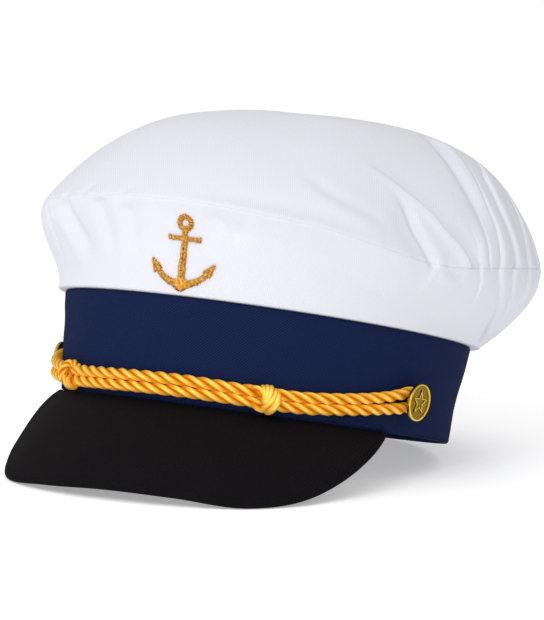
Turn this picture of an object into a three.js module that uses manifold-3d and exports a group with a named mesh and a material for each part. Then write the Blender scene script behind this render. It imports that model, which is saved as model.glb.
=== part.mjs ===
// Peaked yachting cap: a full white crown on a navy band, a steep black peak,
// a double gold cord between two star buttons, and a raised anchor on the front.
// Millimetres, +Z up. The front is towards -Y and the wearer's left towards +X.
// Shapes are worked out in the cap's own frame, where the rim of the band lies in
// the plane z = 0 and azimuths are counted from the front towards the wearer's left.
// The whole cap is then tipped back until it rests on its peak and the back of its rim.
import * as THREE from "three";
import { mergeVertices } from "three/addons/utils/BufferGeometryUtils.js";
import Module from "manifold-3d";

const wasm = await Module();
wasm.setup();

// Driving dimensions.
const GAP = 0.3; // between pieces that touch
const BAND = { halfWidth: 89, halfLength: 102, height: 46, flare: 1.049, wall: 2.4 };
const CLOTH = 1.6; // crown cloth with its backing
const APEX = { x: 8.8, y: 17.4, z: 144.9 };
const PEAK_THICKNESS = 2.4;
const PEAK_BULGE = 0.8;
const PEAK_REACH = 66.5; // azimuth of the peak's two ends
const SINK = 0.5; // how far the cloth flattens where the cap rests
const CORD_RADIUS = 2.5;
const BUTTON = { radius: 8.5, shank: 1.2, under: 6.6, face: 8.1, turn: 6 };
const STAR = { outer: 5.6, inner: 2.4, height: 0.4 };
const KNOT = { width: 7, front: 4, side: 1.5 };
const ANCHOR = { azimuth: 3.7, foot: 47.7, relief: 0.8 };

// The crown by azimuth: how far it stands past the band's top edge at the hem, a third of
// the way up, two thirds up and at the seam; the seam's height; and how full and how steep
// the rise from the seam to the apex is.
const CROWN = [
  { at: -180, hem: 3, low: 13, high: 20, reach: 22, seam: 90, full: 4.2, steep: 0.8 },
  { at: -115, hem: 3, low: 15, high: 22, reach: 22, seam: 88, full: 3.8, steep: 0.8 },
  { at: -67, hem: 4.2, low: 7.2, high: 14.6, reach: 17.4, seam: 83.7, full: 3.2, steep: 0.86 },
  { at: -35, hem: 2.5, low: 3.2, high: 8.8, reach: 13.5, seam: 86, full: 2.6, steep: 0.92 },
  { at: 0, hem: 2, low: 3, high: 5, reach: 10.5, seam: 86.8, full: 2.2, steep: 0.89 },
  { at: 36, hem: 2, low: 3.2, high: 4.6, reach: 9, seam: 83.2, full: 2.6, steep: 0.92 },
  { at: 73, hem: 2.5, low: 7, high: 11, reach: 13.1, seam: 76.8, full: 3.4, steep: 0.97 },
  { at: 95, hem: 2.8, low: 12.9, high: 19.4, reach: 21, seam: 83.2, full: 3.9, steep: 0.96 },
  { at: 114, hem: 3, low: 16.9, high: 25.3, reach: 26.9, seam: 88, full: 4.2, steep: 0.94 },
  { at: 180, hem: 3, low: 13, high: 20, reach: 22, seam: 90, full: 4.2, steep: 0.8 },
];

// Folds and creases of the crown, each along a line from one azimuth and level to another.
// Levels run from 0 at the hem and 1 at the seam to 2 at the apex. bow is how far the line
// swings round in its middle, in degrees; width and depth are in millimetres.
const FOLDS = [
  { az0: 51, s0: 1.44, az1: 79, s1: 1.03, bow: 3, width: 3.6, depth: 2.6 },
  { az0: 58, s0: 1.34, az1: 68, s1: 0.9, bow: 0, width: 3.4, depth: 2.2 },
  { az0: 61, s0: 1.36, az1: 74, s1: 0.6, bow: 1, width: 4.5, depth: -1.6 },
  { az0: 92, s0: 1.7, az1: 84, s1: 1.02, bow: -3, width: 6, depth: 2.6 },
  { az0: 78, s0: 1.36, az1: 83, s1: 0.4, bow: 0, width: 3, depth: 1.5 },
  { az0: 96, s0: 1.66, az1: 103, s1: 0.04, bow: -11, width: 3, depth: 1.9 },
  { az0: 107, s0: 1.62, az1: 103, s1: 0.12, bow: -12, width: 3, depth: 1.9 },
  { az0: 110, s0: 1.55, az1: 106, s1: 0.3, bow: -6, width: 3, depth: 1.9 },
  { az0: 119, s0: 1.5, az1: 113, s1: 0.25, bow: -5, width: 3.4, depth: 1.8 },
  { az0: 131, s0: 1.48, az1: 122, s1: 0.2, bow: -4, width: 3.6, depth: 1.7 },
  { az0: 144, s0: 1.42, az1: 135, s1: 0.25, bow: -3, width: 4, depth: 1.5 },
  { az0: 158, s0: 1.4, az1: 152, s1: 0.3, bow: -2, width: 4.4, depth: 1.2 },
  { az0: 18, s0: 0.8, az1: 86, s1: 0.22, bow: 0, width: 8, depth: 1.6 },
  { az0: -2, s0: 1.2, az1: 56, s1: 1.08, bow: 0, width: 3.2, depth: 1 },
  { az0: -34, s0: 1, az1: -39, s1: 0.15, bow: 0, width: 4, depth: 1.5 },
  { az0: -24, s0: 0.98, az1: -20, s1: 0.3, bow: 0, width: 4.5, depth: 0.9 },
  { az0: -13, s0: 0.92, az1: -12, s1: 0.2, bow: 0, width: 5, depth: 0.8 },
  { az0: -84, s0: 1.5, az1: -80, s1: 0.3, bow: 2, width: 4, depth: 1.8 },
  { az0: -98, s0: 1.6, az1: -93, s1: 0.1, bow: 6, width: 3.4, depth: 1.9 },
  { az0: -108, s0: 1.58, az1: -101, s1: 0.15, bow: 6, width: 3.2, depth: 1.8 },
  { az0: -118, s0: 1.5, az1: -110, s1: 0.2, bow: 4, width: 3.4, depth: 1.8 },
  { az0: -130, s0: 1.45, az1: -121, s1: 0.25, bow: 3, width: 3.8, depth: 1.6 },
  { az0: -145, s0: 1.4, az1: -136, s1: 0.3, bow: 2, width: 4.2, depth: 1.4 },
];

// The lower edge of the peak by azimuth: how far out from the rim and how far down.
const PEAK = [
  { at: -PEAK_REACH, out: 1.6, drop: 2.6 },
  { at: -58, out: 7.7, drop: 12.3 },
  { at: -48, out: 16.9, drop: 28 },
  { at: -38, out: 25.4, drop: 36.6 },
  { at: -28, out: 35, drop: 43.3 },
  { at: -14, out: 39.2, drop: 43.5 },
  { at: 0, out: 38.5, drop: 41.8 },
  { at: 14, out: 37.8, drop: 41.3 },
  { at: 28, out: 35.8, drop: 41.3 },
  { at: 38, out: 29, drop: 36.2 },
  { at: 48, out: 19.2, drop: 26.4 },
  { at: 58, out: 10.4, drop: 13.6 },
  { at: PEAK_REACH, out: 1.6, drop: 2.6 },
];

// The cord by azimuth, from button to button: the height of the middle of its two strands,
// and half the distance between their centres.
const CORD = [
  { at: -79, middle: 16, apart: 4.1 },
  { at: -70, middle: 13.8, apart: 3.4 },
  { at: -58, middle: 10.8, apart: 2.9 },
  { at: -46, middle: 8.3, apart: 2.7 },
  { at: -34.5, middle: 6.9, apart: 2.65 },
  { at: -20, middle: 6.8, apart: 2.65 },
  { at: -4, middle: 7.3, apart: 2.75 },
  { at: 10, middle: 7.5, apart: 2.75 },
  { at: 20, middle: 7.2, apart: 2.65 },
  { at: 29.5, middle: 7, apart: 2.65 },
  { at: 40, middle: 7.3, apart: 2.65 },
  { at: 52, middle: 9.5, apart: 2.7 },
  { at: 62, middle: 12.2, apart: 3 },
  { at: 67, middle: 13.9, apart: 3.4 },
  { at: 72, middle: 16, apart: 4.1 },
];
const CORD_ENDS = { button_right: CORD[0].at, button_left: CORD[CORD.length - 1].at };
const KNOT_AZIMUTHS = { knot_right: -34.5, knot_left: 29.5 };

// Fineness of the grids.
const ROUND = 96;
const SIDE_LEVELS = [0.06, 0.2, 0.36, 0.52, 0.68, 0.84, 0.997];
const TOP_STEPS = [0.015, 0.13, 0.24, 0.35, 0.46, 0.57, 0.68, 0.79, 0.9];
const BAND_LEVELS = [0, 0.35, 0.7, 1];
const PEAK_COLUMNS = 44;
const PEAK_STEPS = 5;

const radians = THREE.MathUtils.degToRad;

// A smooth curve through one column of a table, by azimuth.
function curveOf(table, column) {
  const x = table.map((row) => row.at);
  const y = table.map((row) => row[column]);
  const last = x.length - 1;
  const wraps = x[last] - x[0] === 360;
  const step = (i) => (y[i + 1] - y[i]) / (x[i + 1] - x[i]);
  const slope = (i) => {
    const before = i > 0 ? i - 1 : wraps ? last - 1 : 0;
    const after = i < last ? i : wraps ? 0 : last - 1;
    const wide = x[before + 1] - x[before];
    const next = x[after + 1] - x[after];
    return (step(before) * next + step(after) * wide) / (wide + next);
  };
  return (azimuth) => {
    const a = wraps ? THREE.MathUtils.euclideanModulo(azimuth - x[0], 360) + x[0] : azimuth;
    let i = 0;
    while (i < last - 1 && a > x[i + 1]) i += 1;
    const wide = x[i + 1] - x[i];
    const t = (a - x[i]) / wide;
    const s = t * t * (3 - 2 * t);
    const rise = slope(i) * wide * t * (1 - t) * (1 - t);
    const fall = slope(i + 1) * wide * t * t * (t - 1);
    return y[i] * (1 - s) + y[i + 1] * s + rise + fall;
  };
}

// A solid from a grid of closed sections. The sections close into a ring, or their two
// ends are covered.
function solidFrom(sections, isRing) {
  const around = sections[0].length;
  const positions = sections.flat().flatMap((p) => [p.x, p.y, p.z]);
  const triangles = [];
  const spans = isRing ? sections.length : sections.length - 1;
  for (let i = 0; i < spans; i += 1) {
    for (let j = 0; j < around; j += 1) {
      const a = i * around + j;
      const b = i * around + ((j + 1) % around);
      const c = ((i + 1) % sections.length) * around + ((j + 1) % around);
      const d = ((i + 1) % sections.length) * around + j;
      triangles.push(a, b, c, a, c, d);
    }
  }
  if (!isRing) {
    const end = (sections.length - 1) * around;
    for (let j = 1, k = around - 1; j < k; j += 1, k -= 1) {
      const quad = [j - 1, j, k, (k + 1) % around];
      for (const [p, q, r] of [[0, 2, 1], [0, 3, 2]]) {
        if (quad[p] === quad[r] || quad[p] === quad[q]) continue;
        triangles.push(quad[p], quad[q], quad[r]);
        triangles.push(end + quad[p], end + quad[r], end + quad[q]);
      }
    }
  }
  return facingOut(positions, triangles);
}

// A domed shell from rings of outer and inner points and their two tips.
function domeFrom(outer, inner, outerTip, innerTip) {
  const rings = [...outer, ...inner.slice().reverse()];
  const around = rings[0].length;
  const positions = rings.flat().flatMap((p) => [p.x, p.y, p.z]);
  positions.push(...outerTip.toArray(), ...innerTip.toArray());
  const tips = [rings.length * around, rings.length * around + 1];
  const triangles = [];
  const lastOuter = outer.length - 1;
  for (let i = 0; i < rings.length; i += 1) {
    const next = (i + 1) % rings.length;
    for (let j = 0; j < around; j += 1) {
      const k = (j + 1) % around;
      if (i === lastOuter) {
        triangles.push(i * around + j, i * around + k, tips[0]);
        triangles.push(next * around + k, next * around + j, tips[1]);
      } else {
        triangles.push(i * around + j, i * around + k, next * around + k);
        triangles.push(i * around + j, next * around + k, next * around + j);
      }
    }
  }
  return facingOut(positions, triangles);
}

// A geometry whose faces point out, whichever way the grid was walked.
function facingOut(positions, triangles) {
  const corner = (i) => new THREE.Vector3().fromArray(positions, 3 * i);
  let volume = 0;
  for (let i = 0; i < triangles.length; i += 3) {
    const [a, b, c] = [0, 1, 2].map((k) => corner(triangles[i + k]));
    volume += a.dot(b.cross(c));
  }
  if (volume < 0) triangles.reverse();
  const geometry = new THREE.BufferGeometry();
  geometry.setAttribute("position", new THREE.Float32BufferAttribute(positions, 3));
  geometry.setIndex(triangles);
  geometry.computeVertexNormals();
  return geometry;
}

function toManifold(geometry) {
  const bare = geometry.clone();
  bare.deleteAttribute("normal");
  bare.deleteAttribute("uv");
  const merged = mergeVertices(bare, 1e-4);
  const vertProperties = merged.attributes.position.array;
  const triVerts = new Uint32Array(merged.index.array);
  return new wasm.Manifold(new wasm.Mesh({ numProp: 3, vertProperties, triVerts }));
}

function fromManifold(solid) {
  const mesh = solid.getMesh();
  const geometry = new THREE.BufferGeometry();
  geometry.setAttribute("position", new THREE.BufferAttribute(mesh.vertProperties, 3));
  geometry.setIndex(new THREE.BufferAttribute(mesh.triVerts, 1));
  geometry.computeVertexNormals();
  return geometry;
}

// A point on the band's outer face, or so far off it, at an azimuth and a height.
function bandPoint(azimuth, height, off = 0) {
  const swell = 1 + (BAND.flare - 1) * (height / BAND.height);
  const a = radians(azimuth);
  const x = (BAND.halfWidth * swell + off) * Math.sin(a);
  const y = -(BAND.halfLength * swell + off) * Math.cos(a);
  return new THREE.Vector3(x, y, height);
}

// The crown's outer face without its folds.
const crownColumn = {};
for (const column of ["hem", "low", "high", "reach", "seam", "full", "steep"]) {
  crownColumn[column] = curveOf(CROWN, column);
}

function crownBase(azimuth, level) {
  const { hem, low, high, reach, seam, full, steep } = crownColumn;
  const seamHeight = seam(azimuth);
  const t = Math.min(level, 1);
  const off =
    hem(azimuth) * -4.5 * (t - 1 / 3) * (t - 2 / 3) * (t - 1) +
    low(azimuth) * 13.5 * t * (t - 2 / 3) * (t - 1) -
    high(azimuth) * 13.5 * t * (t - 1 / 3) * (t - 1) +
    reach(azimuth) * 4.5 * t * (t - 1 / 3) * (t - 2 / 3);
  const point = bandPoint(azimuth, BAND.height, off);
  point.z = BAND.height + (seamHeight - BAND.height) * t;
  if (level <= 1) return point;
  const inward = (level - 1) ** 2;
  const rise = (1 - (1 - inward) ** full(azimuth)) ** steep(azimuth);
  point.x += (APEX.x - point.x) * inward;
  point.y += (APEX.y - point.y) * inward;
  point.z += (APEX.z - seamHeight) * rise;
  return point;
}

// The way out of the cloth: level at the seam, so that the two panels meet edge to edge.
function crownOut(azimuth, level) {
  const step = 0.004;
  const up = level + step > 2 ? 2 : level + step;
  const down = level - step < 1 && level > 1 ? 1 : level - step;
  const along = crownBase(azimuth, up).sub(crownBase(azimuth, down));
  const across = crownBase(azimuth + 0.5, level).sub(crownBase(azimuth - 0.5, level));
  const normal = across.cross(along).normalize();
  const flat = new THREE.Vector3(Math.sin(radians(azimuth)), -Math.cos(radians(azimuth)), 0);
  const nearSeam = 1 - THREE.MathUtils.smoothstep(Math.abs(level - 1), 0, 0.16);
  return normal.lerp(flat, nearSeam).normalize();
}

// How far the folds push the cloth out (or in, below zero) at an azimuth and a level.
function foldRelief(azimuth, level) {
  const mmPerDegree = 1.9;
  const mmPerLevel = 60;
  let relief = 0;
  for (const fold of FOLDS) {
    const t = (level - fold.s0) / (fold.s1 - fold.s0);
    if (t <= 0 || t >= 1) continue;
    const middle = fold.az0 + (fold.az1 - fold.az0) * t + fold.bow * 4 * t * (1 - t);
    const away = THREE.MathUtils.euclideanModulo(azimuth - middle + 180, 360) - 180;
    const tall = Math.abs(fold.s1 - fold.s0) * mmPerLevel;
    const wide = Math.abs(fold.az1 - fold.az0) * mmPerDegree;
    const distance = (away * mmPerDegree * tall) / Math.hypot(tall, wide);
    const strength = Math.sqrt(4 * t * (1 - t));
    relief -= fold.depth * strength * Math.exp(-((distance / fold.width) ** 2));
  }
  return relief;
}

function crownPoint(azimuth, level, depth) {
  const relief = foldRelief(azimuth, level) - depth;
  return crownBase(azimuth, level).addScaledVector(crownOut(azimuth, level), relief);
}

const azimuths = Array.from({ length: ROUND }, (_, i) => -180 + (360 * i) / ROUND);

function bandGeometry() {
  const sections = azimuths.map((azimuth) => {
    const heights = BAND_LEVELS.map((level) => level * BAND.height);
    const outside = heights.map((height) => bandPoint(azimuth, height));
    const inside = heights.map((height) => bandPoint(azimuth, height, -BAND.wall));
    return [...outside, ...inside.reverse()];
  });
  return solidFrom(sections, true);
}

// The side of the crown, with the turned hem that sits on the band.
function crownSideGeometry() {
  const seat = BAND.height + GAP;
  const sections = azimuths.map((azimuth) => {
    const turned = [
      [-2.1, CLOTH],
      [-2.1, 0],
      [1.5, 0],
      [2.6, 0.5],
    ].map(([off, up]) => bandPoint(azimuth, BAND.height, off).setZ(seat + up));
    const outside = SIDE_LEVELS.map((level) => crownPoint(azimuth, level, 0));
    const inside = SIDE_LEVELS.map((level) => crownPoint(azimuth, level, CLOTH));
    return [...turned, ...outside, ...inside.reverse()];
  });
  return solidFrom(sections, true);
}

function crownTopGeometry() {
  const ring = (step, depth) => azimuths.map((azimuth) => crownPoint(azimuth, 1 + step, depth));
  const outer = TOP_STEPS.map((step) => ring(step, 0));
  const inner = TOP_STEPS.map((step) => ring(step, CLOTH));
  const outerTip = new THREE.Vector3(APEX.x, APEX.y, APEX.z);
  const innerTip = outerTip.clone().setZ(APEX.z - CLOTH);
  return domeFrom(outer, inner, outerTip, innerTip);
}

// The peak: every section is a straight ray from the rim to the lower edge.
const peakOut = curveOf(PEAK, "out");
const peakDrop = curveOf(PEAK, "drop");

function peakSection(azimuth) {
  const root = new THREE.Vector2(-0.9, -GAP - PEAK_THICKNESS / 2);
  const edge = new THREE.Vector2(peakOut(azimuth), -peakDrop(azimuth));
  const along = edge.clone().sub(root);
  const normal = new THREE.Vector2(-along.y, along.x).normalize();
  const middle = edge.clone().addScaledVector(normal, PEAK_THICKNESS / 2).sub(root);
  const line = (side) =>
    Array.from({ length: PEAK_STEPS }, (_, i) => {
      const t = (i + 1) / PEAK_STEPS;
      const lift = PEAK_BULGE * 4 * t * (1 - t) + (side * PEAK_THICKNESS) / 2;
      return root.clone().addScaledVector(middle, t).addScaledVector(normal, lift);
    });
  const seat = [
    [-2.1, -GAP - 1.2],
    [-2.1, -GAP],
    [-0.15, -GAP],
  ].map(([off, z]) => new THREE.Vector2(off, z));
  const points = [...seat, ...line(1), ...line(-1).reverse()];
  return points.map((p) => bandPoint(azimuth, 0, p.x).setZ(p.y));
}

function peakGeometry() {
  const columns = Array.from({ length: PEAK_COLUMNS + 1 }, (_, i) => (2 * i) / PEAK_COLUMNS - 1);
  return solidFrom(columns.map((c) => peakSection(c * PEAK_REACH)), false);
}

// The cord: one loop of two strands that turns round the shank of each button.
const cordMiddle = curveOf(CORD, "middle");
const cordApart = curveOf(CORD, "apart");
const CORD_OFF = GAP + CORD_RADIUS;

function cordRoute() {
  const strandSteps = 38;
  const turnSteps = 8;
  const ends = [CORD_ENDS.button_right, CORD_ENDS.button_left];
  const route = [];
  for (const side of [1, -1]) {
    const [from, to] = side > 0 ? ends : [ends[1], ends[0]];
    for (let i = 0; i < strandSteps; i += 1) {
      const azimuth = from + ((to - from) * i) / strandSteps;
      route.push({ azimuth, height: cordMiddle(azimuth) + side * cordApart(azimuth) });
    }
    const radius = cordApart(to);
    for (let i = 0; i < turnSteps; i += 1) {
      const a = (Math.PI * i) / turnSteps;
      const further = THREE.MathUtils.radToDeg((Math.sin(a) * radius) / BAND.halfLength);
      const height = cordMiddle(to) + side * Math.cos(a) * radius;
      route.push({ azimuth: to + side * further, height });
    }
  }
  return route;
}

function cordGeometry() {
  const sides = 8;
  const route = cordRoute().map(({ azimuth, height }) => ({
    centre: bandPoint(azimuth, height, CORD_OFF),
    out: bandPoint(azimuth, height, CORD_OFF + 1).sub(bandPoint(azimuth, height, CORD_OFF)),
  }));
  const sections = route.map(({ centre, out }, i) => {
    const before = route[(i + route.length - 1) % route.length].centre;
    const after = route[(i + 1) % route.length].centre;
    const across = after.clone().sub(before).cross(out).normalize();
    const level = across.clone().cross(after.clone().sub(before)).normalize();
    return Array.from({ length: sides }, (_, k) => {
      const a = (2 * Math.PI * (k + 0.5)) / sides;
      const p = centre.clone().addScaledVector(across, CORD_RADIUS * Math.cos(a));
      return p.addScaledVector(level, CORD_RADIUS * Math.sin(a));
    });
  });
  return solidFrom(sections, true);
}

// A knot: a turn of cord over the front of both strands, open towards the band.
// Its shape is drawn in a plane across the cord, x away from the band and y up.
function knotGeometry(azimuth) {
  const reachOut = CORD_OFF + CORD_RADIUS + GAP;
  const half = cordApart(azimuth) + CORD_RADIUS + 2 * GAP;
  const back = 2 * GAP;
  const arch = (path, out, tall, round, turn) => {
    const side = turn ? -1 : 1;
    path.lineTo(back, side * tall);
    path.lineTo(out - round, side * tall);
    path.absarc(out - round, side * (tall - round), round, (side * Math.PI) / 2, 0, !turn);
    path.absarc(out - round, side * (round - tall), round, 0, (-side * Math.PI) / 2, !turn);
    path.lineTo(back, -side * tall);
  };
  const shape = new THREE.Shape();
  shape.moveTo(back, half + KNOT.side);
  arch(shape, reachOut + KNOT.front, half + KNOT.side, 4.4, false);
  arch(shape, reachOut, half, 1.6, true);
  shape.closePath();
  const solid = new THREE.ExtrudeGeometry(shape, {
    depth: KNOT.width,
    bevelEnabled: false,
    curveSegments: 5,
  });
  return solid.translate(0, 0, -KNOT.width / 2);
}

// Stands a piece on the band: its z is the way out, or its x where the piece lies across.
// turn swings it towards the back, in degrees.
function placeOnBand(mesh, azimuth, height, across, turn = 0) {
  const foot = bandPoint(azimuth, height);
  const up = bandPoint(azimuth, height + 1).sub(foot).normalize();
  const along = bandPoint(azimuth + 0.5, height).sub(bandPoint(azimuth - 0.5, height));
  const out = along.cross(up).normalize().applyAxisAngle(up, radians(turn));
  const side = up.clone().cross(out);
  const basis = new THREE.Matrix4();
  if (across) basis.makeBasis(out, up, side.negate());
  else basis.makeBasis(side, up, out);
  mesh.quaternion.setFromRotationMatrix(basis);
  mesh.position.copy(foot);
  return mesh;
}

function buttonGeometry() {
  const { radius, shank, under, face } = BUTTON;
  const profile = [
    [0, GAP],
    [shank, GAP],
    [shank, under],
    [radius - 0.4, under],
    [radius, under + 0.4],
    [radius, face - 0.2],
    [radius - 0.3, face + 0.1],
    [radius - 0.8, face + 0.1],
    [radius - 1.2, face - 0.3],
    [radius * 0.4, face],
    [0, face + 0.1],
  ].map(([r, z]) => new THREE.Vector2(r, z));
  const turned = new THREE.LatheGeometry(profile, 32).rotateX(Math.PI / 2);
  const star = new THREE.Shape();
  for (let i = 0; i < 10; i += 1) {
    const a = Math.PI / 2 + (Math.PI * i) / 5;
    const r = i % 2 ? STAR.inner : STAR.outer;
    star[i ? "lineTo" : "moveTo"](r * Math.cos(a), r * Math.sin(a));
  }
  star.closePath();
  const raised = new THREE.ExtrudeGeometry(star, { depth: 1 + STAR.height, bevelEnabled: false });
  raised.translate(0, 0, face - 1);
  return fromManifold(toManifold(turned).add(toManifold(raised)));
}

// The anchor is drawn flat, x towards the wearer's left and y up from its foot, and is then
// laid on the front of the crown.
const ANCHOR_SHAPE = {
  ring: { y: 29.9, outer: 3.6, hole: 1.8 },
  stock: { y: 23.2, halfWidth: 7.7, half: 0.95 },
  shank: { from: 4, to: 27, halfFoot: 1.6, halfTop: 1.15 },
  arms: { radius: 15, centre: 18.1, spread: 55, half: 1.4, halfCrown: 3 },
  fluke: { length: 6, half: 2.6 },
};

function anchorPieces() {
  const { ring, stock, shank, arms, fluke } = ANCHOR_SHAPE;
  const outline = (points) => new THREE.Shape(points.map(([x, y]) => new THREE.Vector2(x, y)));
  const bar = (from, to, count, halfAt) => {
    const left = [];
    const right = [];
    for (let i = 0; i <= count; i += 1) {
      const y = from + ((to - from) * i) / count;
      left.push([-halfAt(i / count), y]);
      right.unshift([halfAt(i / count), y]);
    }
    return [...right, ...left];
  };
  const circle = new THREE.Shape().absarc(0, ring.y, ring.outer, 0, 2 * Math.PI);
  circle.holes.push(new THREE.Path().absarc(0, ring.y, ring.hole, 0, 2 * Math.PI, true));
  const thinner = shank.halfTop - shank.halfFoot;
  const post = outline(bar(shank.from, shank.to, 8, (t) => shank.halfFoot + thinner * t));
  const across = bar(-stock.halfWidth, stock.halfWidth, 6, () => stock.half);
  const cross = outline(across.map(([x, y]) => [y, stock.y - x]));
  const under = [];
  const over = [];
  const armSteps = 20;
  for (let i = 0; i <= armSteps; i += 1) {
    const t = (2 * i) / armSteps - 1;
    const a = radians(t * arms.spread);
    const half = arms.half + (arms.halfCrown - arms.half) * (1 - Math.abs(t)) ** 2;
    const low = arms.radius + half;
    const high = arms.radius - half;
    under.push([low * Math.sin(a), arms.centre - low * Math.cos(a)]);
    over.unshift([high * Math.sin(a), arms.centre - high * Math.cos(a)]);
  }
  const curve = outline([...under, ...over]);
  const heads = [-1, 1].map((side) => {
    const a = radians(arms.spread);
    const x = side * arms.radius * Math.sin(a);
    const y = arms.centre - arms.radius * Math.cos(a);
    const ahead = [side * Math.cos(a), Math.sin(a)];
    const away = [side * Math.sin(a), -Math.cos(a)];
    const at = (forward, out) => [
      x + ahead[0] * forward + away[0] * out,
      y + ahead[1] * forward + away[1] * out,
    ];
    const points = [at(fluke.length * 0.8, 0), at(-1.6, -fluke.half), at(-0.4, 0), at(-1.6, fluke.half)];
    return outline(side > 0 ? points.reverse() : points);
  });
  return [circle, post, cross, curve, ...heads];
}

function anchorGeometry() {
  const options = { depth: ANCHOR.relief, bevelEnabled: false, curveSegments: 10, steps: 1 };
  const flat = anchorPieces()
    .map((shape) => toManifold(new THREE.ExtrudeGeometry(shape, options)))
    .reduce((whole, piece) => whole.add(piece));
  const geometry = fromManifold(flat);
  const position = geometry.attributes.position;
  const seam = crownColumn.seam(ANCHOR.azimuth);
  const perDegree = radians(BAND.halfWidth * BAND.flare + 5);
  for (let i = 0; i < position.count; i += 1) {
    const azimuth = ANCHOR.azimuth + position.getX(i) / perDegree;
    const level = (ANCHOR.foot - BAND.height + position.getY(i)) / (seam - BAND.height);
    const point = crownPoint(azimuth, level, -GAP - position.getZ(i));
    position.setXYZ(i, point.x, point.y, point.z);
  }
  geometry.computeVertexNormals();
  return geometry;
}

// How the cap comes to rest: it tips back until its rim touches behind, and rolls until
// both corners of its peak touch.
function restingTurn() {
  const between = (from, to, pointsAt) => {
    const steps = Array.from({ length: 121 }, (_, i) => from + ((to - from) * i) / 120);
    return steps.flatMap(pointsAt);
  };
  const rim = between(100, 260, (azimuth) => [bandPoint(azimuth, 0)]);
  const right = between(-PEAK_REACH, 0, peakSection);
  const left = between(0, PEAK_REACH, peakSection);
  const turn = new THREE.Euler();
  const lowest = (points) =>
    points
      .map((point) => point.clone().applyEuler(turn))
      .reduce((low, point) => (point.z < low.z ? point : low));
  for (let i = 0; i < 12; i += 1) {
    const [back, cornerRight, cornerLeft] = [rim, right, left].map(lowest);
    const front = cornerRight.clone().lerp(cornerLeft, 0.5);
    turn.x += (front.z - back.z) / (back.y - front.y);
    turn.y += (cornerLeft.z - cornerRight.z) / (cornerLeft.x - cornerRight.x);
  }
  return { turn, under: lowest(rim).z };
}

const material = (color, roughness, metalness = 0) =>
  new THREE.MeshStandardMaterial({ color, roughness, metalness });
const whiteTwill = () => material("#eeeef2", 0.85);
const navyTwill = () => material("#12204a", 0.8);
const blackTwill = () => material("#16151a", 0.75);
const goldCord = () => material("#e8981c", 0.45);
const goldMetal = () => material("#b08d2a", 0.3, 1);
const goldThread = () => material("#c8923c", 0.5);

const cap = new THREE.Group();
const rest = restingTurn();
cap.rotation.copy(rest.turn);
cap.position.z = -rest.under - SINK;
cap.updateMatrixWorld(true);

// The surface that the cap rests on, as a block in the cap's own frame.
const blockDepth = 20;
const ground = new THREE.BoxGeometry(500, 500, blockDepth);
ground.translate(0, 0, -blockDepth / 2);
ground.applyMatrix4(cap.matrixWorld.clone().invert());
const surface = toManifold(ground);
const rested = (geometry) => fromManifold(toManifold(geometry).subtract(surface));

function add(name, geometry, finish) {
  const mesh = new THREE.Mesh(geometry, finish);
  mesh.name = name;
  cap.add(mesh);
  return mesh;
}

add("crown_top", crownTopGeometry(), whiteTwill());
add("crown_side", crownSideGeometry(), whiteTwill());
add("band", rested(bandGeometry()), navyTwill());
add("peak", rested(peakGeometry()), blackTwill());
add("cord", cordGeometry(), goldCord());
for (const [name, azimuth] of Object.entries(KNOT_AZIMUTHS)) {
  placeOnBand(add(name, knotGeometry(azimuth), goldCord()), azimuth, cordMiddle(azimuth), true);
}
for (const [name, azimuth] of Object.entries(CORD_ENDS)) {
  const button = add(name, buttonGeometry(), goldMetal());
  placeOnBand(button, azimuth, cordMiddle(azimuth), false, Math.sign(azimuth) * BUTTON.turn);
}
add("anchor", anchorGeometry(), goldThread());

// The origin goes on the surface, under the middle of the cap.
const model = new THREE.Group();
model.add(cap);
model.updateMatrixWorld(true);
const middle = new THREE.Box3().setFromObject(cap, true).getCenter(new THREE.Vector3());
cap.position.x -= middle.x;
cap.position.y -= middle.y;

export default model;
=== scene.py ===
"""The looks of a peaked yachting cap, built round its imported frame.

Shapes are worked out in the cap's own frame, in millimetres: the rim of the band lies in
the plane z = 0, and azimuths count from the front towards the wearer's left, in degrees.
"""

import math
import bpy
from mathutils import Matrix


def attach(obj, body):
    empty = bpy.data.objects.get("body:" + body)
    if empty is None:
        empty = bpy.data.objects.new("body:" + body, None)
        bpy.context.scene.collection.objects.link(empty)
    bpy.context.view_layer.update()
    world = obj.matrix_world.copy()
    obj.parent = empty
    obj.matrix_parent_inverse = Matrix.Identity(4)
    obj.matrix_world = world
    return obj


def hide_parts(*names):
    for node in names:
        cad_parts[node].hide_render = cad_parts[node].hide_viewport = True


bl_info = {
    "name": "Peaked yachting cap",
    "version": (1, 0, 0),
    "blender": (4, 5, 0),
    "location": "3D View > Sidebar > Cap",
    "description": "Builds a white cap with a navy band, a black peak and a gold cord",
    "category": "Add Mesh",
}

import bpy
import numpy as np
from bpy.props import FloatProperty, FloatVectorProperty, IntProperty, PointerProperty
from mathutils import Matrix, Vector

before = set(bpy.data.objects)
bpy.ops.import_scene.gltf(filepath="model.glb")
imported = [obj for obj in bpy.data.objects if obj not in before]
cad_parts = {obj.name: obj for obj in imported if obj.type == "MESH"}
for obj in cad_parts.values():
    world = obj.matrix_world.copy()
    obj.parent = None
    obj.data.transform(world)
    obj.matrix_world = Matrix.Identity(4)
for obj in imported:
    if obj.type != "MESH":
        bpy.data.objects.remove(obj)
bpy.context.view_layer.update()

# How the cap rests: tipped back on its rim and the two corners of its peak.
TILT, ROLL = math.radians(-10.716726), math.radians(1.073069)
REST_TURN = np.array(Matrix.Rotation(TILT, 3, "X") @ Matrix.Rotation(ROLL, 3, "Y"))
REST_AT = np.array([-1.5957645, 1.8899017, 18.5373619])

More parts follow.
